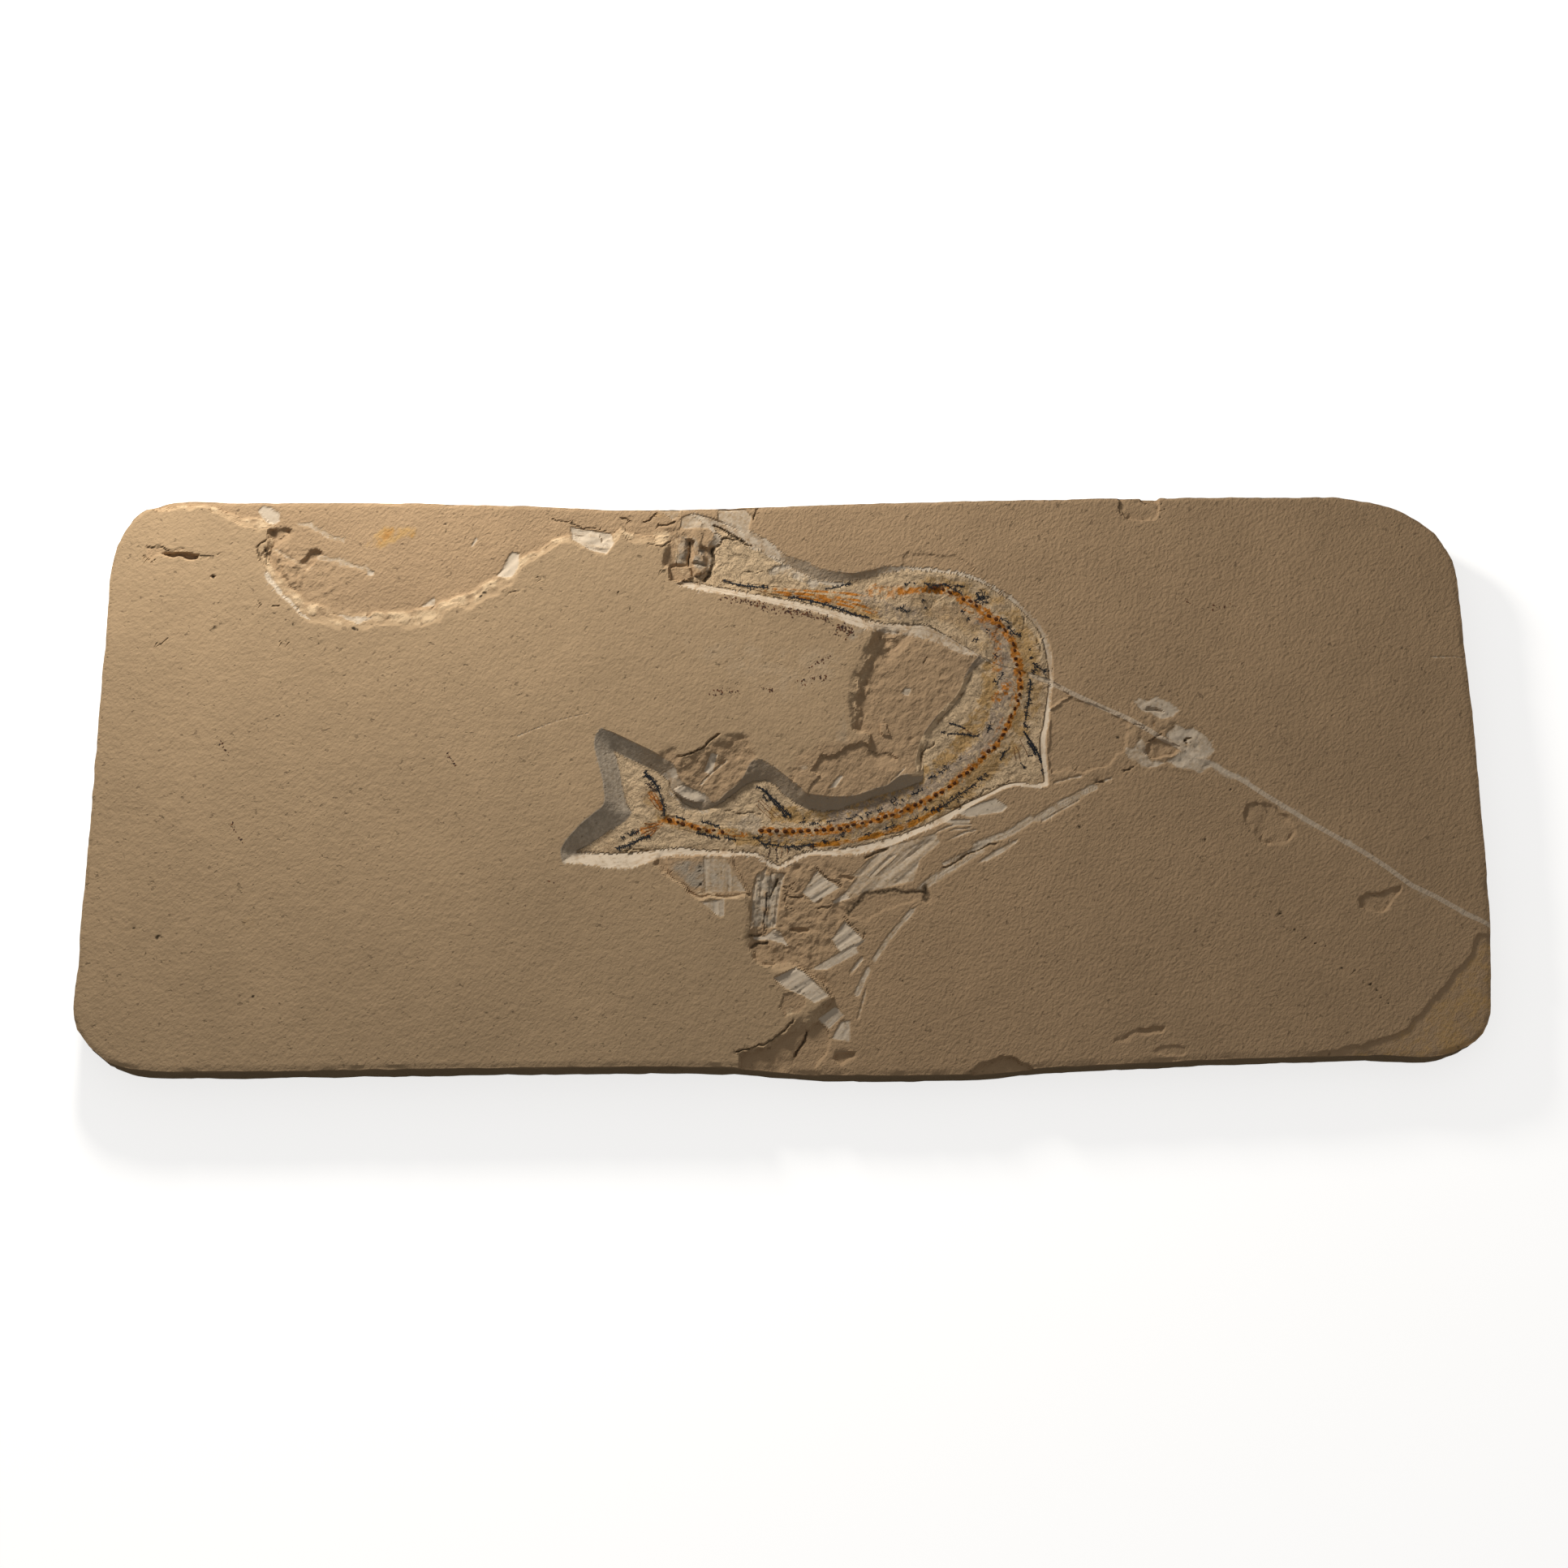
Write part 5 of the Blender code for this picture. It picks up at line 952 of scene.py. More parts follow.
# Colours, linear. The stone's marks are laid on in this order, each with how torn its edges are
UPPER_BED_COLOUR = (0.428, 0.300, 0.178, 1.0)
MARK_COLOURS = {
    "rough": ((0.412, 0.280, 0.164, 1.0), 0.3),
    # the fresh colour is that of freshly broken stone, and also painted light on the natural wall, which
    # lies in shade
    "fresh_and_painted_light": ((0.610, 0.450, 0.280, 1.0), 0.5),
    "pale": ((0.520, 0.410, 0.290, 1.0), 0.15),
    # the grey colour is that of grey patches and planed stone, and also painted shade on recess walls that
    # face away from the light
    "grey": ((0.360, 0.298, 0.226, 1.0), 0.3),
    # the planed colour is that of planed and scraped stone, and also painted highlight on recess walls and
    # facets that face the light
    "planed_and_highlight": ((0.590, 0.490, 0.375, 1.0), 0.45),
    "ochre": ((0.485, 0.305, 0.130, 1.0), 0.45),
    "lilac": ((0.385, 0.290, 0.205, 1.0), 0.6),
    "stain": ((0.420, 0.165, 0.016, 1.0), 0.4),
    "bone": ((0.500, 0.180, 0.020, 1.0), 0.55),
    "wall": ((0.300, 0.215, 0.130, 1.0), 0.1),
    # the dark colour is that of black specks and bead middles, and also painted shade in the cracks
    "dark": ((0.050, 0.034, 0.018, 1.0), 0.4),
}
# One more mark has no colour and tells where the bed is split in flakes
MARKS = tuple(MARK_COLOURS) + ("split",)
MORTAR_COLOUR = (0.600, 0.500, 0.385, 1.0)
MORTAR_SHARE = 0.6
BEAD_COLOUR = (0.250, 0.075, 0.010, 1.0)
BEAD_DARK_COLOUR = (0.030, 0.009, 0.002, 1.0)
BLACK_COLOUR = (0.016, 0.019, 0.026, 1.0)
RAY_COLOUR = (0.420, 0.130, 0.012, 1.0)
# The slant of the stone's grain, and the split bed's little steps: where they lie in the noise,
# and their height in millimetres
GRAIN_SLANT = math.radians(48)
FLAKE_LEVELS = (0.40, 0.47, 0.54, 0.61)
FLAKE_STEP = 0.27

# The light stands low behind the slab's left half, and the rest of the room fills in softly
KEY_PLACE = (-276, 462, 250)
KEY_POWER = 13.4
KEY_RADIUS = 0.06
KEY_COLOUR = (1.0, 0.955, 0.88)
FILL_COLOUR = (1.0, 0.965, 0.92, 1.0)
FILL_STRENGTH = 0.24
FLOOR_GLOW = 0.70
FLOOR_COLOUR = (0.80, 0.80, 0.80, 1.0)
FLOOR_BOUNCE = (0.30, 0.28, 0.25, 1.0)
FLOOR_SIZE = 6.0

# The camera stands in front and above, and looks at this place
AIM = (0, -1.5, THICKNESS)
VIEW_DISTANCE = 1.2
VIEW_ELEVATION = math.radians(73)
LENS = 63.46
SENSOR = 36.0


def places(x, y, z):
    """Places in metres from millimetres on the plan and above the underside."""
    return np.stack([x - PLAN_MIDDLE[0], y - PLAN_MIDDLE[1], z], -1) * MM


def on_plan(rows):
    """Millimetres on the plan and above the underside from places in metres."""
    x, y, z = rows.T / MM
    return x + PLAN_MIDDLE[0], y + PLAN_MIDDLE[1], z


def set_back(y, z):
    """Where a place seen at y really is, when it is at height z."""
    return y + (THICKNESS - z) * SIGHT_SLOPE


def ease(share):
    """A soft step from 0 to 1."""
    share = np.clip(share, 0.0, 1.0)
    return share * share * (3 - 2 * share)


def hump(share):
    """Nothing at 0 and at 1, and 1 between them."""
    return np.sin(np.pi * share)


def curve(points, steps=4):
    """A smooth line through points of any size."""
    ends = np.array(points, float)
    ends = np.vstack([2 * ends[0] - ends[1], ends, 2 * ends[-1] - ends[-2]])
    share = (np.arange(steps) / steps)[:, None]
    rows = []
    for a, b, c, d in zip(ends, ends[1:], ends[2:], ends[3:]):
        rows.append(
            (2 * b + (c - a) * share + (2 * a - 5 * b + 4 * c - d) * share**2
             + (3 * b - a - 3 * c + d) * share**3) / 2
        )
    return np.vstack(rows + [ends[-2:-1]])


def ring(points, steps=3):
    """A smooth closed line through the points."""
    closed = [points[-1]] + list(points) + [points[0], points[1]]
    return curve(closed, steps)[steps:-steps]


def directions(runs):
    """Runs of any length made one unit long."""
    return runs / np.hypot(*runs.T)[:, None]


def lengths_along(points):
    """How far along a line each of its points is."""
    return np.concatenate([[0], np.cumsum(np.hypot(*np.diff(points[:, :2], axis=0).T))])


def places_at(wanted, reach, points):
    """Places of a line at the wanted lengths, reach being the lengths of its points."""
    return np.stack([np.interp(wanted, reach, column) for column in points.T], 1)


def even_line(line, pitch):
    """Places along a smooth line at an even pitch, with the line's third value if it has one."""
    fine = curve(line, 12)
    reach = lengths_along(fine)
    count = max(int(round(reach[-1] / pitch)), 1) + 1
    return places_at(np.linspace(0, reach[-1], count), reach, fine)


def headings(line):
    """Unit directions along a line of places."""
    return directions(np.gradient(line[:, :2], axis=0))


LATTICE_CELLS = 128
LATTICE_LAYERS = 8
LATTICE = np.random.default_rng(11).random((LATTICE_LAYERS, LATTICE_CELLS, LATTICE_CELLS)) * 2 - 1


def noise(x, y, size, seed):
    """Smooth hills of about that size, from -1 to 1."""
    table = LATTICE[seed % LATTICE_LAYERS]
    u = x / size + 17.3 * seed
    v = y / size - 9.1 * seed
    column = np.floor(u).astype(int)
    row = np.floor(v).astype(int)
    across = ease(u - column)
    up = ease(v - row)
    column, row = column % LATTICE_CELLS, row % LATTICE_CELLS
    right, above = (column + 1) % LATTICE_CELLS, (row + 1) % LATTICE_CELLS
    low = table[row, column] * (1 - across) + table[row, right] * across
    high = table[above, column] * (1 - across) + table[above, right] * across
    return low * (1 - up) + high * up


def rubble(x, y, size, seed, octaves=3):
    """Hills with smaller hills on them."""
    total = np.zeros(np.shape(x))
    share = 1.0
    for octave in range(octaves):
        total += noise(x, y, size, seed + octave) * share
        x, y = 0.8 * x - 0.6 * y, 0.6 * x + 0.8 * y
        size *= 0.5
        share *= 0.5
    return total


def nearest(x, y, line, reach, closed=False):
    """For each place its distance to a line, no more than reach, and the line's nearest place."""
    points = np.array(line, float)
    if closed:
        points = np.vstack([points, points[:1]])
    distance = np.full(x.shape, float(reach))
    found = np.zeros((len(x), points.shape[1]))
    found[:, 0], found[:, 1] = x, y
    for start, end in zip(points, points[1:]):
        low = np.minimum(start, end) - reach
        high = np.maximum(start, end) + reach
        close = np.flatnonzero((x > low[0]) & (x < high[0]) & (y > low[1]) & (y < high[1]))
        if not len(close):
            continue
        run = end - start
        square = max(run[0] * run[0] + run[1] * run[1], 1e-9)
        along = (x[close] - start[0]) * run[0] + (y[close] - start[1]) * run[1]
        share = np.clip(along / square, 0, 1)
        gap = np.hypot(x[close] - start[0] - share * run[0], y[close] - start[1] - share * run[1])
        better = gap < distance[close]
        distance[close[better]] = gap[better]
        found[close[better]] = start + share[better, None] * run
    return distance, found


def near(x, y, line, reach, closed=False):
    """Distance from each place to a line, no more than reach."""
    return nearest(x, y, line, reach, closed)[0]


def near_with_value(x, y, line, reach, closed=False):
    """The distance to a line and the line's third value there, which is 0 out of reach."""
    distance, found = nearest(x, y, line, reach, closed)
    return distance, found[:, 2]


def inside(x, y, outline):
    """Whether each place is inside the closed line."""
    points = [tuple(point)[:2] for point in outline]
    xs, ys = zip(*points)
    close = np.flatnonzero((x >= min(xs)) & (x <= max(xs)) & (y >= min(ys)) & (y <= max(ys)))
    found = np.zeros(len(close), bool)
    px, py = x[close], y[close]
    for (x0, y0), (x1, y1) in zip(points, points[1:] + points[:1]):
        if y0 != y1:
            found ^= ((y0 > py) != (y1 > py)) & (px < (x1 - x0) * (py - y0) / (y1 - y0) + x0)
    result = np.zeros(x.shape, bool)
    result[close] = found
    return result


def strip_share(x, y, strip):
    """How far inside a strip each place is, from 0 at its edge to 1 in the middle, and its half width."""
    gap, half = near_with_value(x, y, curve(strip, 3), WIDEST_STRIP)
    return np.clip(1 - gap / np.maximum(half, 0.1), 0, 1), half


def with_facing(line):
    """A closed line with, as third value, how much its inner side faces the back left."""
    runs = directions(np.roll(line, -1, axis=0) - np.roll(line, 1, axis=0))
    inward = np.stack([runs[:, 1], -runs[:, 0]], 1)
    return np.column_stack([line, inward @ np.array(BACK_LEFT)])


RIM_RING = with_facing(ring(RECESS_RIM))
FOOT_RING = ring(RECESS_FOOT)


class Ground:
    """Heights and marks at many places of the plan at once."""

    def __init__(self, x, y):
        self.x, self.y = x, y
        self.z = np.full(x.shape, THICKNESS)
        self.marks = {name: np.zeros(x.shape) for name in MARKS}
        self.strayed = (x + rubble(x, y, 6.0, 1, 4), y + rubble(x, y, 6.0, 4, 4))

    def rubble(self, size, seed, octaves=3):
        return rubble(self.x, self.y, size, seed, octaves)

    def paint(self, name, amount):
        """Raises a mark to the given amount where it is lower."""
        self.marks[name] = np.maximum(self.marks[name], np.clip(amount, 0, 1))

    def wipe(self, name, amount):
        """Takes a mark away by the given share."""
        self.marks[name] *= 1 - np.clip(amount, 0, 1)

    def spots(self, ragged):
        """The places, strayed a little where an edge has to come out ragged."""
        return self.strayed if ragged else (self.x, self.y)

    def within(self, outline, soft, ragged=False):
        """A share from 0 at the outline to 1 at the given distance inside it."""
        x, y = self.spots(ragged)
        held = inside(x, y, outline)
        share = np.zeros(x.shape)
        share[held] = near(x[held], y[held], outline, soft, closed=True) / soft
        return share

    def lay_the_rough_bed(self):
        """The lower bed and the slope, or the terraces at the back, that lead down to it."""
        x, y = self.strayed
        gap, width = near_with_value(x, y, ROUGH_FIELD, WIDEST_SLOPE)
        width = np.maximum(width, 0.8)
        share = inside(x, y, ROUGH_FIELD) * np.clip(gap / width, 0, 1)
        back = (self.x < BACK_SCAR[0]) & (self.y > BACK_SCAR[1])
        terraced = np.interp(share + 0.16 * rubble(x, y, 7.0, 2) * hump(share), *TERRACES)
        plain = np.where(width > 4, 0.6 * share + 0.4 * ease(share), ease(share))
        self.z -= (THICKNESS - ROUGH_BED) * np.where(back, terraced, plain)
        self.z += rubble(x, y, 16.0, 5) * 0.12 * share
        lumps = rubble(x, y, 3.6, 3, 4)
        self.z += hump(share) * np.where(back, 0.42, 0.95) * lumps
        self.paint("fresh_and_painted_light", hump(share) * np.where(back, 0.5 + 0.6 * lumps, 0.35))
        self.paint("rough", share)

    def dress_upper_bed(self):
        """Shallow waves of the smooth bed."""
        unbroken = 1 - self.marks["rough"]
        self.z -= (0.10 + 0.10 * self.rubble(42.0, 3)) * unbroken
        self.z -= 0.04 * (1 + self.rubble(7.0, 6)) * unbroken

    def cut_steps(self):
        for name, level, slope, outline in STEPS:
            share = self.within(outline, slope, ragged=True)
            depth = ease(share)
            change = (level - self.z) * depth
            self.z += np.maximum(change, 0) if name.endswith("shelf") else change
            edge = 4 * share * (1 - share)
            self.z += edge * 0.3 * np.minimum(self.rubble(2.6, 5), 0.2)
            if "scar" in name:
                self.z += depth * (PIT_LUMPS if "pit" in name else SCAR_LUMPS) * self.rubble(3.4, 4, 4)
            if "striated" in name:
                self.z += depth * STRIAE * noise(self.x, self.y * 0.25, 1.5, 5)
            self.paint("rough", depth)

    def make_lumps(self):
        for rise, outline in LUMPY_FIELDS:
            share = ease(self.within(outline, 4.0, ragged=True)) * self.marks["rough"]
            self.z += share * rise * self.rubble(LUMP_SIZE, 6)

    def cut_blade_patches(self):
        for name, depth, angle, pitch, streak, outline in BLADE_PATCHES:
            soft = name.startswith(SOFT_PATCHES)
            share = ease(self.within(outline, 1.2 if soft else 0.7, ragged=soft))
            turn = math.radians(angle)
            across = self.y * math.cos(turn) - self.x * math.sin(turn)
            length = self.x * math.cos(turn) + self.y * math.sin(turn)
            line = noise(across, length * 0.05, pitch, 3)
            line += 0.5 * noise(across, length * 0.08, pitch * 0.4, 5)
            lean = 0.0
            if name.startswith("hatching"):
                self.z += share * (ROUGH_BED - self.z) * 0.8
            if name.startswith(LEANING_PATCHES):
                middle = np.mean(outline, axis=0)
                lean = (self.x - middle[0]) * BACK_LEFT[0] + (self.y - middle[1]) * BACK_LEFT[1]
            self.z -= share * (depth + streak * line + lean * LEAN)
            strength = FAINT if name.startswith(FAINT_PATCHES) else FULL
            strength = SMEARED if name.startswith("mortar") else strength
            self.paint("planed_and_highlight", share * strength * (0.85 + 0.3 * line))
            self.wipe("rough", share * 0.85)

    def cut_blade_strokes(self):
        for width, depth, line in BLADE_STROKES:
            smear = depth < SMEAR_DEPTH
            gap = near(*self.spots(ragged=smear), curve(line), width * 0.6)
            grain = noise(self.x + self.y, (self.x - self.y) * 2, 4.0, 2)
            share = ease((1 - gap / (width * (0.5 + 0.1 * grain))) * 1.8)
            self.z -= share * depth * (0.85 + 0.15 * grain)
            streak = noise(gap * 3, (self.x + self.y) * 0.2, 1.0, 4)
            self.paint("planed_and_highlight", share * (0.5 if smear else 0.72) * (0.75 + 0.4 * streak))
            self.wipe("rough", share * 0.8)

    def cut_cracks(self):
        for width, depth, line in CRACKS:
            gap = near(*self.strayed, curve(line), width * 0.8)
            share = ease((1 - gap / (width * 0.8)) * 1.2)
            self.z -= share * depth
            # painted shade: the cracks are darkened along their depth
            self.paint("dark", share * 0.65)
            self.wipe("planed_and_highlight", share)

    def put_stains(self):
        """Patches of colour, the mortar wiped along the break, and the black specks."""
        for mark, strength, soft, outline in STAINS:
            share = ease(self.within(outline, soft, ragged=True))
            self.paint(mark, share * strength * (0.7 + 0.6 * self.rubble(3.0, 7)))
        x, y = self.strayed
        gap = near(x, y, BREAK_LINE[:TIGHT_FROM], 4.0)
        self.paint("planed_and_highlight", ease(1 - gap / 3.0) * (0.2 + 0.5 * self.rubble(8.0, 5)))
        for speck_x, speck_y, size in BLACK_SPECKS:
            share = ease(1.4 - np.hypot(x - speck_x, (y - speck_y) * 1.3) / size)
            self.paint("dark", share)
            self.z -= share * 0.25

    def cut_the_recess(self):
        """The planed walls round the fish and its split bed, with painted highlight on walls that face the
        light and painted shade on those that face away.
        """
        x, y = self.x, self.y
        in_rim = inside(x, y, RIM_RING)
        bed = inside(x, y, FOOT_RING)
        wall = in_rim & ~bed
        natural = wall & inside(x, y, NATURAL_WALL)
        to_rim, toward_light = near_with_value(x, y, RIM_RING, WIDEST_SLOPE, closed=True)
        to_foot = near(x, y, FOOT_RING, WIDEST_SLOPE, closed=True)
        patch = ease(self.within(PALE_WALL_PATCH, 0.8))
        share = wall * np.maximum(to_foot / np.maximum(to_foot + to_rim, 1e-6), 0.8 * patch)
        gap, lift = near_with_value(x, y, OUTER_BEND, OUTER_BEND_REACH)
        lift = lift * ease(1 - gap / OUTER_BEND_REACH)
        streaks = noise(x * 0.3, share * 3.0, 0.5, 6) * 0.6 + noise(x + y * 0.4, y * 0.3, 2.6, 6) * 0.4
        foot = FISH_BED + lift
        height = foot + (self.z - foot) * share + 0.16 * streaks * hump(share)
        height -= 0.5 * share * (1 - share)
        height += natural * 0.9 * self.rubble(2.4, 3) * hump(share)
        floor = FISH_BED + self.bed_relief() * ease(to_foot / 2.0) + lift
        self.bed = np.where(bed, floor, np.where(wall, height, self.z))
        covered = np.maximum(strip_share(x, y, FLANK)[0], strip_share(x, y, HEAD)[0])
        self.z = self.bed - BED_SINK * ease(covered * 5 - 0.8)
        for name in MARKS:
            self.wipe(name, 1.0 * in_rim)
        lobe = ease((TAIL_LOBES_X - x) / 6)
        snout_wall = ease((SNOUT_WALL[0] - x) / 10) * (y > SNOUT_WALL[1])
        # pale is painted highlight: strongest on walls that face the light and where the bed rises at the
        # outer bend, weaker on the right wall; at the tail's lobes, the tail wall and the snout it is also
        # the paler colour of planed stone
        pale = np.maximum.reduce([
            ease(toward_light * 3 + 0.5), 0.6 * lift, 0.5 * self.within(TAIL_WALL, 2.0), 0.4 * lobe,
            0.85 * snout_wall,
        ])
        pale *= 1 - 0.35 * ease((x - DIM_WALL_X) / 10) * (y > DIM_WALL_Y[0]) * (y < DIM_WALL_Y[1])
        planed_wall = wall & ~natural
        # painted highlight on the planed walls, by the share in pale
        self.paint("planed_and_highlight", planed_wall * pale * (0.75 + 0.55 * streaks))
        # painted shade: grey on the planed walls that face away from the light, and at the tail's lobes
        # also the grey of planed stone
        self.paint("grey", planed_wall * (0.6 * (1 - pale) + 0.5 * lobe))
        self.paint("planed_and_highlight", patch * (0.85 + 0.3 * streaks))
        self.paint("rough", 0.6 * wall + 0.8 * bed)
        self.paint("fresh_and_painted_light", bed * (0.8 + 0.3 * self.rubble(9.0, 5)))
        # painted light: the natural wall lies in shade and is lightened with the fresh cream
        self.paint("fresh_and_painted_light", 0.8 * natural)
        self.wipe("fresh_and_painted_light", ease(self.within(NAPE_BED, 4.0)) * 0.6)
        self.paint("split", 1.0 * bed)
        self.colour_the_fish(bed)

    def colour_the_fish(self, bed):
        """Bands of bone, scales and iron stain, and a few of painted highlight, broken up as they are in a
        split fossil.
        """
        for number, (mark, strength, half, size, line) in enumerate(FISH_BANDS):
            gap = near(self.x, self.y, curve(line), half * 1.8)
            rows = np.flatnonzero((gap < half * 1.8) & bed)
            x, y = self.x[rows], self.y[rows]
            torn = gap[rows] / half + 0.35 * rubble(x, y, size, number)
            patchy = EVENNESS.get(mark, 0.75) + 0.6 * rubble(x, y, size * 1.3, number + 3)
            amount = np.zeros(len(gap))
            amount[rows] = ease((1.35 - torn) * 1.5) * np.clip(patchy, 0.1, 1) * strength
            self.paint(mark, amount)

    def bed_relief(self):
        """Low flakes of the split bed that holds the fish."""
        x, y = self.x, self.y
        flakes = self.rubble(13.0, 2)
        layers = np.floor(flakes * 4) / 4 + ease((flakes * 4) % 1 * 4) / 4
        waves = rubble(x * 0.7 + y, y - x * 0.7, 3.4, 1) * 0.20 + self.rubble(1.6, 4, 2) * 0.09
        return 0.55 * layers + waves

    def survey(self):
        self.lay_the_rough_bed()
        self.dress_upper_bed()
        self.cut_steps()
        self.make_lumps()
        self.cut_blade_patches()
        self.cut_blade_strokes()
        self.put_stains()
        self.cut_the_recess()
        self.cut_cracks()
        self.z = np.minimum(self.z, THICKNESS)
        return self


def cell_wanted(x, y):
    """How fine the carved face has to be at each place, in millimetres."""
    wanted = np.full(x.shape, PLAIN_CELL)
    wanted[near(x, y, OUTLINE, 4.0, closed=True) < 3.0] = EDGE_CELL
    scarp, width = near_with_value(x, y, ROUGH_FIELD, WIDEST_SLOPE)
    wanted[(scarp < 1.5) | (inside(x, y, ROUGH_FIELD) & (scarp < width + 1.5))] = FINE_CELL
    for _, _, slope, outline in STEPS:
        gap = near(x, y, outline, slope + 1.5, closed=True)
        sloped = (gap < 1.2) | (inside(x, y, outline) & (gap < slope + 1))
        wanted[sloped] = np.minimum(wanted[sloped], STEP_CELL)
    for *_, streak, outline in BLADE_PATCHES:
        gap = near(x, y, outline, 1.5, closed=True)
        wanted[inside(x, y, outline) | (gap < 1.0)] = FINE_CELL if streak > 0.1 else EDGE_CELL
        wanted[gap < 0.8] = FINE_CELL
    for _, outline in LUMPY_FIELDS:
        lumpy = inside(x, y, outline)
        wanted[lumpy] = np.minimum(wanted[lumpy], STEP_CELL)
    for width, _, line in BLADE_STROKES + CRACKS:
        reach = width * 0.5 + 0.6
        wanted[near(x, y, line, reach) < reach] = FINE_CELL
    for speck_x, speck_y, size in BLACK_SPECKS:
        wanted[np.hypot(x - speck_x, y - speck_y) < size + 1.0] = FINE_CELL
    wanted[inside(x, y, RIM_RING) | (near(x, y, RIM_RING, 3.0, closed=True) < 1.2)] = FINE_CELL
    return wanted


def alone(piece):
    """Selects one object and nothing else."""
    for other in bpy.context.selected_objects:
        other.select_set(False)
    piece.select_set(True)
    bpy.context.view_layer.objects.active = piece


@contextmanager
def editing(piece, whole=True):
    """Edit mode on one object, with all of it selected or only what is selected already."""
    alone(piece)
    bpy.ops.object.mode_set(mode="EDIT")
    if whole:
        bpy.ops.mesh.select_all(action="SELECT")
    yield
    bpy.ops.object.mode_set(mode="OBJECT")


def extrude_up(height):
    bpy.ops.mesh.extrude_region_move(TRANSFORM_OT_translate={"value": (0, 0, height * MM)})


def face_outwards():
    bpy.ops.mesh.select_all(action="SELECT")
    bpy.ops.mesh.normals_make_consistent(inside=False)


def apply(piece, modifier):
    alone(piece)
    bpy.ops.object.modifier_apply(modifier=modifier.name)


def smooth(piece, degrees=24):
    alone(piece)
    bpy.ops.object.shade_smooth_by_angle(angle=math.radians(degrees))


def rows_of(items, name, width):
    """One row of numbers for each vertex or face."""
    flat = np.zeros(len(items) * width)
    items.foreach_get(name, flat)
    return flat.reshape(-1, width)


def move_to(mesh, x, y, z):
    """Puts the vertices at places given in millimetres."""
    mesh.vertices.foreach_set("co", places(x, y, z).ravel())
    mesh.update()


def store_marks(mesh, marks):
    for name, values in marks.items():
        attribute = mesh.attributes.new(name, "FLOAT", "POINT")
        attribute.data.foreach_set("value", np.asarray(values, np.float32))


def grid(name, long, wide):
    """A flat grid, with each vertex's place along and across it, from -1 to 1."""
    bpy.ops.mesh.primitive_grid_add(x_subdivisions=long, y_subdivisions=wide, size=2, location=(0, 0, 0))
    piece = bpy.context.object
    piece.name = name
    along, across, _ = rows_of(piece.data.vertices, "co", 3).T
    return piece, along, across


def prism(name, outline):
    """A closed block with the given outline on the plan, taller than the slab."""
    bpy.ops.mesh.primitive_circle_add(vertices=len(outline), fill_type="NGON")
    block = bpy.context.object
    block.name = name
    for vertex, (x, y) in zip(block.data.vertices, outline):
        vertex.co = places(x, y, -BLOCK_EXCESS)
    with editing(block):
        extrude_up(THICKNESS + 2 * BLOCK_EXCESS)
        face_outwards()
    return block


def cut(piece, cutter, operation):
    """Applies a Boolean with the cutter and leaves the cutter in place."""
    modifier = piece.modifiers.new("break", "BOOLEAN")
    modifier.object = cutter
    modifier.operation = operation
    modifier.solver = "EXACT"
    apply(piece, modifier)


def copy_of(piece, name):
    twin = piece.copy()
    twin.data = piece.data.copy()
    twin.name = name
    bpy.context.scene.collection.objects.link(twin)
    return twin


def side_places(side, shares):
    """Places at the given shares of a side's length."""
    points = np.array(side, float)
    reach = lengths_along(points)
    return places_at(shares, reach / reach[-1], points)


def whole_stone(name):
    """The unbroken slab, its cells laid out to follow all four sides."""
    stone, u, v = grid(name, CELLS_LONG, CELLS_WIDE)
    u, v = (u + 1) / 2, (v + 1) / 2
    left = side_places(LEFT_SIDE, v)
    back = side_places(BACK_SIDE, u)
    right = side_places(RIGHT_SIDE[::-1], v)
    front = side_places(FRONT_SIDE[::-1], u)
    corners = [np.array(side[0]) for side in (LEFT_SIDE, BACK_SIDE, RIGHT_SIDE, FRONT_SIDE)]
    u, v = u[:, None], v[:, None]
    between = (
        (1 - u) * (1 - v) * corners[0] + (1 - u) * v * corners[1]
        + u * v * corners[2] + u * (1 - v) * corners[3]
    )
    plan = (1 - v) * front + v * back + (1 - u) * left + u * right - between
    move_to(stone.data, plan[:, 0], plan[:, 1], np.zeros(len(plan)))
    with editing(stone):
        extrude_up(THICKNESS / 2)
        extrude_up(THICKNESS / 2)
        face_outwards()
    return stone


def break_sides():
    """The break line moved to both sides by half of the mortar, or half of the tight joint."""
    line = np.array(BREAK_LINE, float)
    runs = directions(np.diff(line, axis=0))
    normals = directions(np.vstack([runs[:1], runs]) + np.vstack([runs, runs[-1:]]))
    normals = np.stack([normals[:, 1], -normals[:, 0]], 1)
    half = np.where(np.arange(len(line)) < TIGHT_FROM, HALF_MORTAR, HALF_JOINT)[:, None]
    return line + normals * half, line - normals * half


def divide(piece, test):
    """Divides in four each face whose middle, in plan millimetres, and size pass the test."""
    bpy.context.tool_settings.mesh_select_mode = (False, False, True)
    mesh = piece.data
    size = np.sqrt(rows_of(mesh.polygons, "area", 1)[:, 0] * 2) / MM
    picked = test(*on_plan(rows_of(mesh.polygons, "center", 3)), size)
    mesh.vertices.foreach_set("select", np.zeros(len(mesh.vertices), bool))
    mesh.edges.foreach_set("select", np.zeros(len(mesh.edges), bool))
    mesh.polygons.foreach_set("select", picked)
    with editing(piece, whole=False):
        bpy.ops.mesh.subdivide(number_cuts=1)


def make_triangles(piece):
    with editing(piece):
        bpy.ops.mesh.quads_convert_to_tris(quad_method="FIXED", ngon_method="BEAUTY")


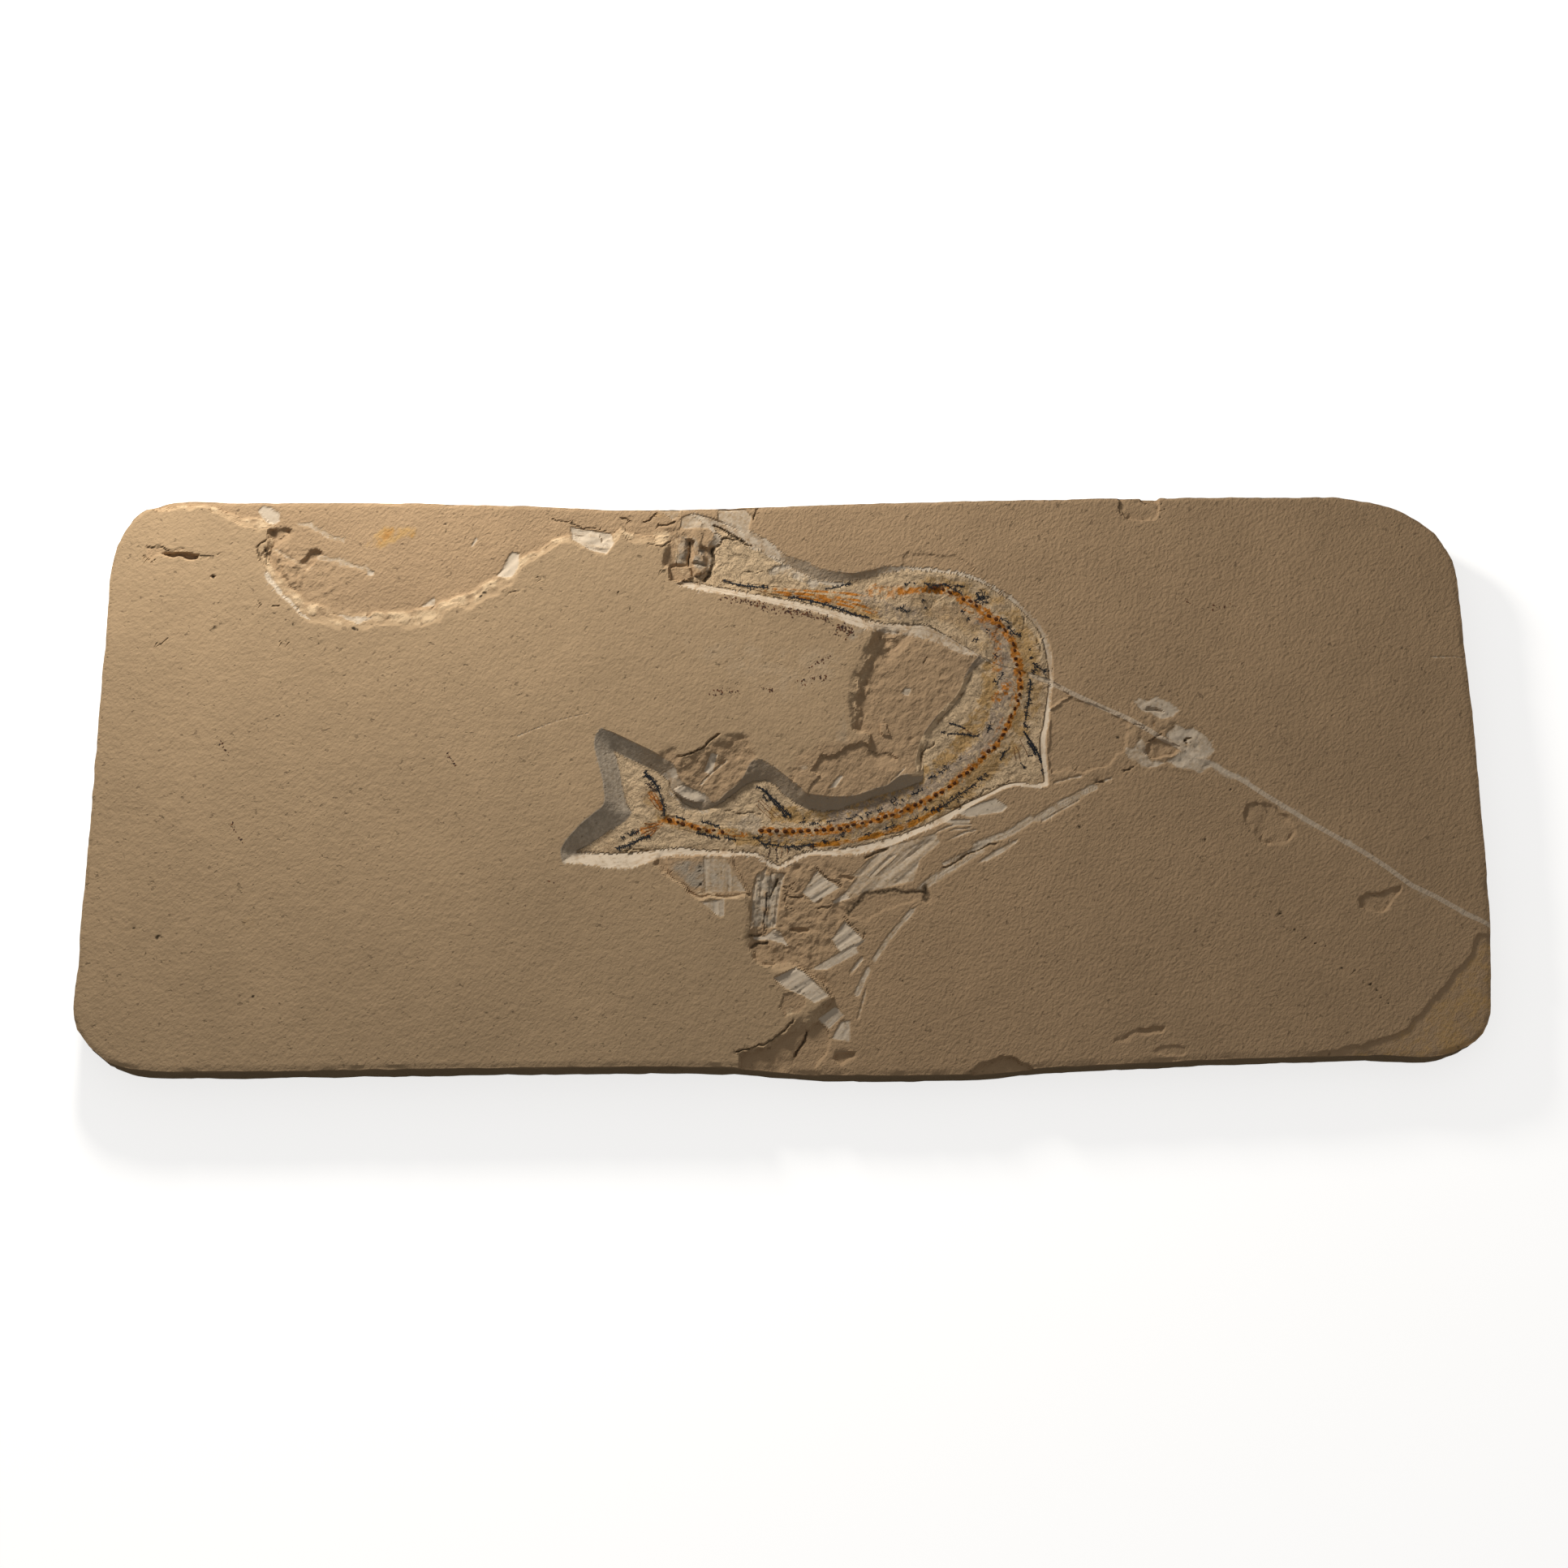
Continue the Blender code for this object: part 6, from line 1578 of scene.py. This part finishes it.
def refine(piece):
    """Finer cells on the upper face wherever the carving needs them."""
    make_triangles(piece)
    divide(piece, lambda x, y, z, size: z > 0.5)
    for limit in DIVIDE_LIMITS:
        divide(piece, lambda x, y, z, size: (
            (z > THICKNESS - TOUCH) & (cell_wanted(x, y) < limit) & (size > limit * 0.9)
        ))
    make_triangles(piece)


def snap_to_the_recess(x, y, free):
    """Moves the free places that are close to the recess's rim or foot onto it."""
    for line in (RIM_RING[:, :2], FOOT_RING):
        x[free], y[free] = nearest(x[free], y[free], line, SNAP_REACH, closed=True)[1].T


def carve(piece):
    """Gives every column of the stone its height, roughens the walls and stores the marks."""
    mesh = piece.data
    x, y, column = on_plan(rows_of(mesh.vertices, "co", 3))
    top = column > THICKNESS - TOUCH
    underside = column < TOUCH
    to_edge = near(x, y, OUTLINE, 6.0, closed=True)
    on_edge = to_edge < EDGE_REACH
    to_break = np.minimum(*(near(x, y, side, 1.0) for side in break_sides()))
    snap_to_the_recess(x, y, np.flatnonzero(top & ~on_edge & (to_break > 0.3)))
    ground = Ground(x, y).survey()
    rim_loss = ease(1.3 - to_edge / 1.6) * (0.35 + 0.5 * np.maximum(rubble(x, y, 6.0, 3), 0))
    z = column / THICKNESS * (ground.z - top * rim_loss)
    inward = on_edge * WALL_DEPTH * (0.5 + 0.5 * rubble(x + y, z * 3, 7.0, 6))
    inward = np.clip(np.where(top, inward * 0.6, inward), 0, None)
    x -= np.sign(x) * inward * (np.abs(x) > END_WALLS)
    y -= np.sign(y) * inward * (np.abs(y) > LONG_WALLS)
    z = np.where(underside & ~on_edge, np.maximum(rubble(x, y, 30.0, 1) - 0.2, 0) * 0.8, z)
    for name in MARKS:
        plain = 1.0 if name in ("wall", "rough") else 0.0
        ground.marks[name][(on_edge & ~top) | underside] = plain
    y += set_back(0, ground.z) * ease(to_edge / 6.0) * column / THICKNESS
    move_to(mesh, x, y, z)
    store_marks(mesh, ground.marks)


def make_stones():
    """The two stones and the mortar between them, each a closed block with a carved face."""
    main = whole_stone("stone_main")
    right = copy_of(main, "stone_upper_right")
    mortar = copy_of(main, "mortar_seam")
    upper, lower = (list(map(tuple, side)) for side in break_sides())
    for piece, outline, operation in (
        (right, upper + BEYOND_UPPER_RIGHT, "INTERSECT"),
        (main, lower + BEYOND_UPPER_RIGHT, "DIFFERENCE"),
        (mortar, upper[:TIGHT_FROM] + lower[:TIGHT_FROM][::-1], "INTERSECT"),
    ):
        block = prism("block", outline)
        cut(piece, block, operation)
        bpy.data.objects.remove(block)
    for stone in (main, right, mortar):
        refine(stone)
        carve(stone)
        smooth(stone)
    return main, right, mortar


def swell(share, half):
    """Height of a soft swelling, flatter where the strip is narrow."""
    return ease(share) * half / 8


def make_film(name, strip, rise):
    """A thin skin of fossil along a strip, its edges tucked under the stone."""
    line = even_line(strip, FILM_CELL)
    last = len(line) - 1
    rows = int(round(2 * max(point[2] for point in strip) / FILM_CELL))
    film, along, side = grid(name, last, rows)
    step = np.clip(np.round((along + 1) / 2 * last).astype(int), 0, last)
    to_end = np.minimum(step, last - step)
    turn = headings(line)[step]
    half = line[step, 2] * (0.25 + 0.75 * ease(to_end / 6))
    x = line[step, 0] - turn[:, 1] * side * half
    y = line[step, 1] + turn[:, 0] * side * half
    ground = Ground(x, y).survey()
    ends = ease(to_end / 10)
    held = ease(np.minimum((1 - np.abs(side)) * half, 1.0)) * ends
    swelling = swell(1 - np.abs(side), line[step, 2]) * rise * ends
    z = ground.bed + (swelling + 0.03 + ground.rubble(1.5, 3, 2) * 0.07) * held
    z -= 0.30 * (1 - held)
    move_to(film.data, x, set_back(y, z), z)
    store_marks(film.data, ground.marks)
    modifier = film.modifiers.new("depth", "SOLIDIFY")
    modifier.thickness = 0.5 * MM
    modifier.offset = -1
    apply(film, modifier)
    smooth(film, 60)
    return film


def template(segments, rings):
    """Vertices and faces of a small ball to be stretched and copied."""
    bpy.ops.mesh.primitive_uv_sphere_add(segments=segments, ring_count=rings, radius=1, location=(0, 0, 0))
    ball = bpy.context.object
    spots = np.array([vertex.co for vertex in ball.data.vertices])
    faces = [list(face.vertices) for face in ball.data.polygons]
    bpy.data.objects.remove(ball)
    return spots, faces


def many(name, shape, placings, marks):
    """One mesh of many copies: each placing is middle x, y, z, heading, and three half sizes."""
    spots, faces = shape
    x, y, z, turn, *halves = np.array(placings).T[:, :, None]
    along, across, up = (spots[:, i] * half for i, half in enumerate(halves))
    around_x = x + along * np.cos(turn) - across * np.sin(turn)
    around_y = y + along * np.sin(turn) + across * np.cos(turn)
    vertices = places(around_x, set_back(around_y, z), z + up).reshape(-1, 3)
    count = len(spots)
    starts = [count * copy for copy in range(len(placings))]
    all_faces = [[index + start for index in face] for start in starts for face in faces]
    mesh = bpy.data.meshes.new(name)
    mesh.from_pydata(vertices.tolist(), [], all_faces)
    store_marks(mesh, marks)
    piece = bpy.data.objects.new(name, mesh)
    bpy.context.scene.collection.objects.link(piece)
    smooth(piece, 50)
    return piece


def skin_height(x, y):
    """Height of the fossil's surface, skin and bones included."""
    rises = [
        swell(*strip_share(x, y, strip)) * full for strip, full in ((FLANK, BODY_RISE), (HEAD, HEAD_RISE))
    ]
    return Ground(x, y).survey().bed + np.maximum(*rises) + 0.04


def make_beads():
    """The backbone: low vertebrae on the flank, each with a dark middle."""
    dice = np.random.default_rng(5)
    line = even_line(SPINE, BEAD_PITCH)
    turns = np.arctan2(*headings(line).T[::-1])
    placings = []
    for (x, y), turn in zip(line, turns):
        if BEAD_GAP[0] < x < BEAD_GAP[1] and y < 0:
            continue
        clear = CLEAR_BEADS[0] < x < CLEAR_BEADS[1]
        if not clear and dice.random() < 0.12:
            continue
        size = 0.8 if clear else 0.55 + 0.35 * dice.random()
        width = 0.90 if clear else 0.55 + 0.4 * dice.random()
        stray = 0.1 if clear else 0.35
        placings.append([
            x + dice.normal(0, stray), y + dice.normal(0, stray), 0,
            turn + dice.normal(0, 0.2), 1.4 * size, width, 0.4,
        ])
    placings = np.array(placings)
    placings[:, 2] = skin_height(placings[:, 0], placings[:, 1]) - 0.02
    spots, faces = template(12, 8)
    middle = np.hypot(spots[:, 0], spots[:, 1])
    top = spots[:, 2] > 0
    dark = np.where(top & (middle < 0.95), 1.0, 0.5)
    spots[:, 2] *= np.where(top & (middle < 0.55), 0.72, 1.0)
    return many("vertebrae", (spots, faces), placings, {"dark": np.tile(dark, len(placings))})


def twigs(dice, line, length, thickness, pairs):
    """Short forked twigs to both sides of a line, as placings without their height."""
    placed = []
    path = even_line(line, STEM_PITCH)
    turns = np.arctan2(*headings(path).T[::-1])
    for (x, y), turn in zip(path[:, :2], turns):
        for side in (-1, 1) * pairs:
            if dice.random() < 0.45:
                continue
            reach = length * (0.4 + 1.1 * dice.random() ** 1.5)
            way = turn + side * (0.75 + 0.7 * dice.random())
            placed.append([
                x + math.cos(way) * reach * 0.5, y + math.sin(way) * reach * 0.5, way,
                reach * 0.58, thickness * (0.6 + 0.5 * dice.random()),
            ])
            for share in (0.45, 0.7, 0.9):
                if reach < 0.6 or dice.random() < 0.4:
                    continue
                fork = way + dice.choice([-0.95, 0.95])
                small = reach * (0.22 + 0.15 * dice.random())
                placed.append([
                    x + math.cos(way) * reach * share + math.cos(fork) * small,
                    y + math.sin(way) * reach * share + math.sin(fork) * small,
                    fork, small * 1.1, thickness * 0.55,
                ])
    return placed


def stem(dice, line, thickness):
    """Overlapping spindles along a line, with small wavers."""
    placed = []
    path = even_line(line, STEM_PITCH)
    path[:, :2] += dice.normal(0, 0.10, (len(path), 2))
    for (x0, y0), (x1, y1) in zip(path[:-1, :2], path[1:, :2]):
        way = math.atan2(y1 - y0, x1 - x0)
        reach = math.hypot(x1 - x0, y1 - y0) * 0.72
        placed.append([(x0 + x1) / 2, (y0 + y1) / 2, way, reach, thickness * (0.7 + 0.5 * dice.random())])
    return placed


def lay(name, shape, placed, rise, orange):
    """One mesh of spindles laid on the fossil's surface, each with its share of orange."""
    placed = np.array(placed)
    z = np.minimum(skin_height(placed[:, 0], placed[:, 1]), THICKNESS - rise)
    placed = np.column_stack([placed[:, :2], z, placed[:, 2:], np.full(len(placed), rise)])
    return many(name, shape, placed, {"bone": np.repeat(orange, len(shape[0]))})


def make_dendrites(shape):
    dice = np.random.default_rng(21)
    placed = []
    for thickness, length, line in DENDRITES:
        placed += stem(dice, line, 0.32 + 0.3 * thickness)
        placed += twigs(dice, line, length * 1.8, 0.3, 1)
    brown = [0.0] * len(placed)
    for count, reach, line in SPECK_TRAILS:
        path = even_line(line, 0.2)
        for spot in dice.integers(0, len(path), count):
            x, y = path[spot, :2] + dice.normal(0, reach / 2, 2)
            size = 0.28 + 0.55 * dice.random() ** 1.5
            placed.append([x, y, dice.random() * 3, size, size * 0.6])
            brown.append(0.1 + 0.3 * dice.random())
    return lay("dendrites", shape, placed, 0.10, brown)


def make_rays(name, rays, shape, seed):
    dice = np.random.default_rng(seed)
    placed = []
    orange = []
    for thickness, share, twig, line in rays:
        new = stem(dice, line, thickness * 1.25)
        if twig:
            new += twigs(dice, line, twig * 1.5, 0.22, 2)
        placed += new
        orange += [share] * len(new)
    return lay(name, shape, placed, 0.13, orange)


def add(tree, kind, inputs=None, **settings):
    """A node with its settings, its inputs being values or the outputs of other nodes."""
    new = tree.nodes.new(kind)
    for key, value in settings.items():
        setattr(new, key, value)
    for key, value in (inputs or {}).items():
        if isinstance(value, bpy.types.NodeSocket):
            tree.links.new(value, new.inputs[key])
        else:
            new.inputs[key].default_value = value
    return new


def maths(tree, operation, first, second=0.0, clamp=False):
    inputs = {0: first, 1: second}
    return add(tree, "ShaderNodeMath", inputs, operation=operation, use_clamp=clamp).outputs[0]


def times(tree, first, second):
    return maths(tree, "MULTIPLY", first, second)


def plus(tree, first, second):
    return maths(tree, "ADD", first, second)


def less(tree, first, second):
    return maths(tree, "SUBTRACT", first, second)


def blend(tree, share, under, over, kind="MIX"):
    """Two colours mixed by a share."""
    inputs = {0: share, 6: under, 7: over}
    return add(tree, "ShaderNodeMix", inputs, data_type="RGBA", blend_type=kind).outputs[2]


def spread(tree, value, low, high, to_low=0.0, to_high=1.0):
    """A value moved from one range to another and held within it."""
    inputs = {0: value, 1: low, 2: high, 3: to_low, 4: to_high}
    return add(tree, "ShaderNodeMapRange", inputs, clamp=True).outputs[0]


def clouds_at(tree, where, scale, detail, roughness=0.5, distortion=0.0):
    """Noise of so many cells a metre."""
    inputs = {
        "Vector": where, "Scale": scale, "Detail": detail, "Roughness": roughness, "Distortion": distortion,
    }
    return add(tree, "ShaderNodeTexNoise", inputs).outputs[0]


def mark_of(tree, name):
    return add(tree, "ShaderNodeAttribute", attribute_name=name).outputs["Fac"]


def on_piece(tree):
    return tree.nodes.new("ShaderNodeTexCoord").outputs["Object"]


def shaded(tree, colour, value, low, high, dark, light):
    """A colour made darker or lighter by a value."""
    shade = spread(tree, value, low, high, dark, light)
    grey = add(tree, "ShaderNodeCombineColor", {0: shade, 1: shade, 2: shade}).outputs[0]
    return blend(tree, 1.0, colour, grey, "MULTIPLY")


def new_group(name, inputs, outputs):
    tree = bpy.data.node_groups.new(name, "ShaderNodeTree")
    for label, value in inputs.items():
        socket = tree.interface.new_socket(name=label, in_out="INPUT", socket_type="NodeSocketFloat")
        socket.default_value = value
    for label, kind in outputs.items():
        tree.interface.new_socket(name=label, in_out="OUTPUT", socket_type=kind)
    return tree, tree.nodes.new("NodeGroupInput"), tree.nodes.new("NodeGroupOutput")


def grain_group():
    """Grain of the stone: slanted little ridges where it is rough, fine bumps elsewhere."""
    tree, source, sink = new_group(
        "stone_grain",
        {"Rough": 0.0, "Planed": 0.0, "Split": 0.0},
        {"Height": "NodeSocketFloat", "Tone": "NodeSocketFloat", "Specks": "NodeSocketFloat"},
    )
    where = on_piece(tree)
    slanted = add(
        tree, "ShaderNodeMapping",
        {"Vector": where, "Rotation": (0, 0, GRAIN_SLANT), "Scale": (1.5, 1.0, 1.0)},
        vector_type="TEXTURE",
    ).outputs[0]
    grains = clouds_at(tree, slanted, 800.0, 2.0, 0.6)
    bumps = clouds_at(tree, where, 300.0, 3.0, 0.6)
    broad = clouds_at(tree, where, 28.0, 4.0, 0.6)
    flecks = clouds_at(tree, where, 420.0, 2.0, 0.5)
    flakes = clouds_at(tree, where, 170.0, 5.0, 0.62, 0.8)
    height = times(tree, grains, spread(tree, source.outputs["Rough"], 0.0, 1.0, 0.32, 0.50))
    height = plus(tree, height, times(tree, bumps, 0.42))
    steps = 0.0
    for level in FLAKE_LEVELS:
        steps = plus(tree, steps, spread(tree, flakes, level, level + 0.018, 0.0, FLAKE_STEP))
    steps = plus(tree, steps, times(tree, flakes, 0.85))
    height = plus(tree, height, times(tree, steps, source.outputs["Split"]))
    specks = spread(tree, flecks, 0.66, 0.74)
    height = less(tree, height, times(tree, specks, 0.12))
    even = less(tree, 1.0, times(tree, source.outputs["Planed"], 0.75))
    tree.links.new(times(tree, height, even), sink.inputs["Height"])
    tone = plus(tree, times(tree, broad, 0.7), times(tree, bumps, 0.3))
    tree.links.new(tone, sink.inputs["Tone"])
    tree.links.new(specks, sink.inputs["Specks"])
    return tree


def colour_group():
    """The stone's colour from its marks."""
    tree, source, sink = new_group(
        "stone_colour", {"Tone": 0.5, "Specks": 0.0}, {"Colour": "NodeSocketColor"}
    )
    torn = spread(tree, clouds_at(tree, on_piece(tree), 760.0, 4.0, 0.65), 0.30, 0.70)
    colour = UPPER_BED_COLOUR
    for name, (over, tear) in MARK_COLOURS.items():
        mark = less(tree, mark_of(tree, name), times(tree, torn, tear))
        colour = blend(tree, maths(tree, "DIVIDE", mark, 1 - tear, clamp=True), colour, over)
    colour = shaded(tree, colour, source.outputs["Tone"], 0.30, 0.70, 0.90, 1.10)
    dark, _ = MARK_COLOURS["dark"]
    colour = blend(tree, times(tree, source.outputs["Specks"], 0.38), colour, dark)
    tree.links.new(colour, sink.inputs["Colour"])
    return tree


def new_material(name, roughness, specular):
    """A material with its Principled BSDF."""
    material = bpy.data.materials.new(name)
    material.use_nodes = True
    shader = material.node_tree.nodes["Principled BSDF"]
    shader.inputs["Roughness"].default_value = roughness
    shader.inputs["Specular IOR Level"].default_value = specular
    return material, material.node_tree, shader


def finish_surface(tree, shader, colour, height, distance):
    """Ties the colour and the bump to the shader."""
    bump = add(tree, "ShaderNodeBump", {"Strength": 1.0, "Distance": distance, "Height": height})
    tree.links.new(bump.outputs["Normal"], shader.inputs["Normal"])
    tree.links.new(colour, shader.inputs["Base Color"])


def stone_material(name, grain, colours, roughness, over=None):
    """Matt stone; over is a colour laid over all of it, with its share."""
    material, tree, shader = new_material(name, roughness, 0.2)
    marks = {"Rough": "rough", "Planed": "planed_and_highlight", "Split": "split"}
    inputs = {label: mark_of(tree, mark) for label, mark in marks.items()}
    texture = add(tree, "ShaderNodeGroup", node_tree=grain)
    for label, output in inputs.items():
        tree.links.new(output, texture.inputs[label])
    paint = add(tree, "ShaderNodeGroup", node_tree=colours)
    for label in ("Tone", "Specks"):
        tree.links.new(texture.outputs[label], paint.inputs[label])
    colour = paint.outputs["Colour"]
    if over:
        colour = blend(tree, over[1], colour, over[0])
    finish_surface(tree, shader, colour, texture.outputs["Height"], MM)
    return material


def mineral_material(name, base, marked, mark, roughness):
    """Bone or mineral whose colour goes from one to the other by a mark."""
    material, tree, shader = new_material(name, roughness, 0.15)
    clouds = clouds_at(tree, on_piece(tree), 900.0, 3.0)
    uneven = spread(tree, clouds, 0.35, 0.6, 0.5, 1.0)
    amount = maths(tree, "MULTIPLY", mark_of(tree, mark), uneven, clamp=True)
    colour = shaded(tree, blend(tree, amount, base, marked), clouds, 0.3, 0.7, 0.65, 1.35)
    finish_surface(tree, shader, colour, clouds, 0.1 * MM)
    return material


def put_on(piece, material, slot, *nodes):
    """Gives a piece its material, ties it to the body and hides the parts of the nodes it stands for; the
    slot is not used.
    """
    piece.data.materials.clear()
    piece.data.materials.append(material)
    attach(piece, "root")
    if nodes:
        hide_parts(*nodes)


def make_floor():
    """A pale floor that shows almost white and throws little light back."""
    bpy.ops.mesh.primitive_plane_add(size=FLOOR_SIZE, location=(0, 0, -0.1 * MM))
    floor = bpy.context.object
    floor.name = "floor"
    material = bpy.data.materials.new("floor")
    material.use_nodes = True
    tree = material.node_tree
    tree.nodes.clear()
    seen = add(tree, "ShaderNodeBsdfDiffuse", {"Color": FLOOR_COLOUR})
    glow = add(tree, "ShaderNodeEmission", {"Strength": FLOOR_GLOW})
    shown = add(tree, "ShaderNodeAddShader", {0: seen.outputs[0], 1: glow.outputs[0]})
    bounce = add(tree, "ShaderNodeBsdfDiffuse", {"Color": FLOOR_BOUNCE})
    path = tree.nodes.new("ShaderNodeLightPath")
    mixed = add(
        tree, "ShaderNodeMixShader",
        {0: path.outputs["Is Camera Ray"], 1: bounce.outputs[0], 2: shown.outputs[0]},
    )
    sink = tree.nodes.new("ShaderNodeOutputMaterial")
    tree.links.new(mixed.outputs[0], sink.inputs["Surface"])
    floor.data.materials.append(material)


def make_light():
    """The low lamp and the soft light of the room."""
    lamp = bpy.data.lights.new("key", "POINT")
    lamp.energy = KEY_POWER
    lamp.shadow_soft_size = KEY_RADIUS
    lamp.color = KEY_COLOUR
    key = bpy.data.objects.new("key", lamp)
    key.location = places(*KEY_PLACE)
    key.visible_camera = False
    bpy.context.scene.collection.objects.link(key)
    world = bpy.data.worlds.new("room")
    world.use_nodes = True
    room = world.node_tree.nodes["Background"]
    room.inputs["Color"].default_value = FILL_COLOUR
    room.inputs["Strength"].default_value = FILL_STRENGTH
    bpy.context.scene.world = world
    bpy.context.scene.view_settings.view_transform = "Standard"


def make_camera():
    data = bpy.data.cameras.new("camera")
    data.lens = LENS
    data.sensor_width = SENSOR
    camera = bpy.data.objects.new("camera", data)
    towards = Vector((0, -math.cos(VIEW_ELEVATION), math.sin(VIEW_ELEVATION)))
    camera.location = Vector(places(*AIM)) + VIEW_DISTANCE * towards
    camera.rotation_euler = (math.pi / 2 - VIEW_ELEVATION, 0, 0)
    bpy.context.scene.collection.objects.link(camera)
    bpy.context.scene.camera = camera


main_stone, right_stone, mortar_seam = make_stones()
grain = grain_group()
colours = colour_group()
limestone = stone_material("limestone", grain, colours, 0.9)
mortar = stone_material("mortar", grain, colours, 0.95, (MORTAR_COLOUR, MORTAR_SHARE))
put_on(main_stone, limestone, "limestone", "slab_main")
put_on(right_stone, limestone, "limestone", "slab_upper_right")
put_on(mortar_seam, mortar, "mortar", "break_mortar")
spindle = template(4, 2)
flank_skin = make_film("flank_skin", FLANK, BODY_RISE)
head_skin = make_film("head_skin", HEAD, HEAD_RISE)
vertebrae = make_beads()
skin = stone_material("fossil_skin", grain, colours, 0.75)
bone = mineral_material("fossil_bone", BEAD_COLOUR, BEAD_DARK_COLOUR, "dark", 0.6)
ray = mineral_material("fin_rays", BLACK_COLOUR, RAY_COLOUR, "bone", 0.65)
put_on(flank_skin, skin, "fossil_scales", "flank_scales")
put_on(head_skin, skin, "fossil_bone", "skull_and_jaws")
put_on(vertebrae, bone, "fossil_bone", "backbone")
put_on(make_dendrites(spindle), ray, "fin_rays")
for seed, (name, rays, node) in enumerate(FINS, 31):
    put_on(make_rays(name, rays, spindle, seed), ray, "fin_rays", node)
make_floor()
make_light()
make_camera()
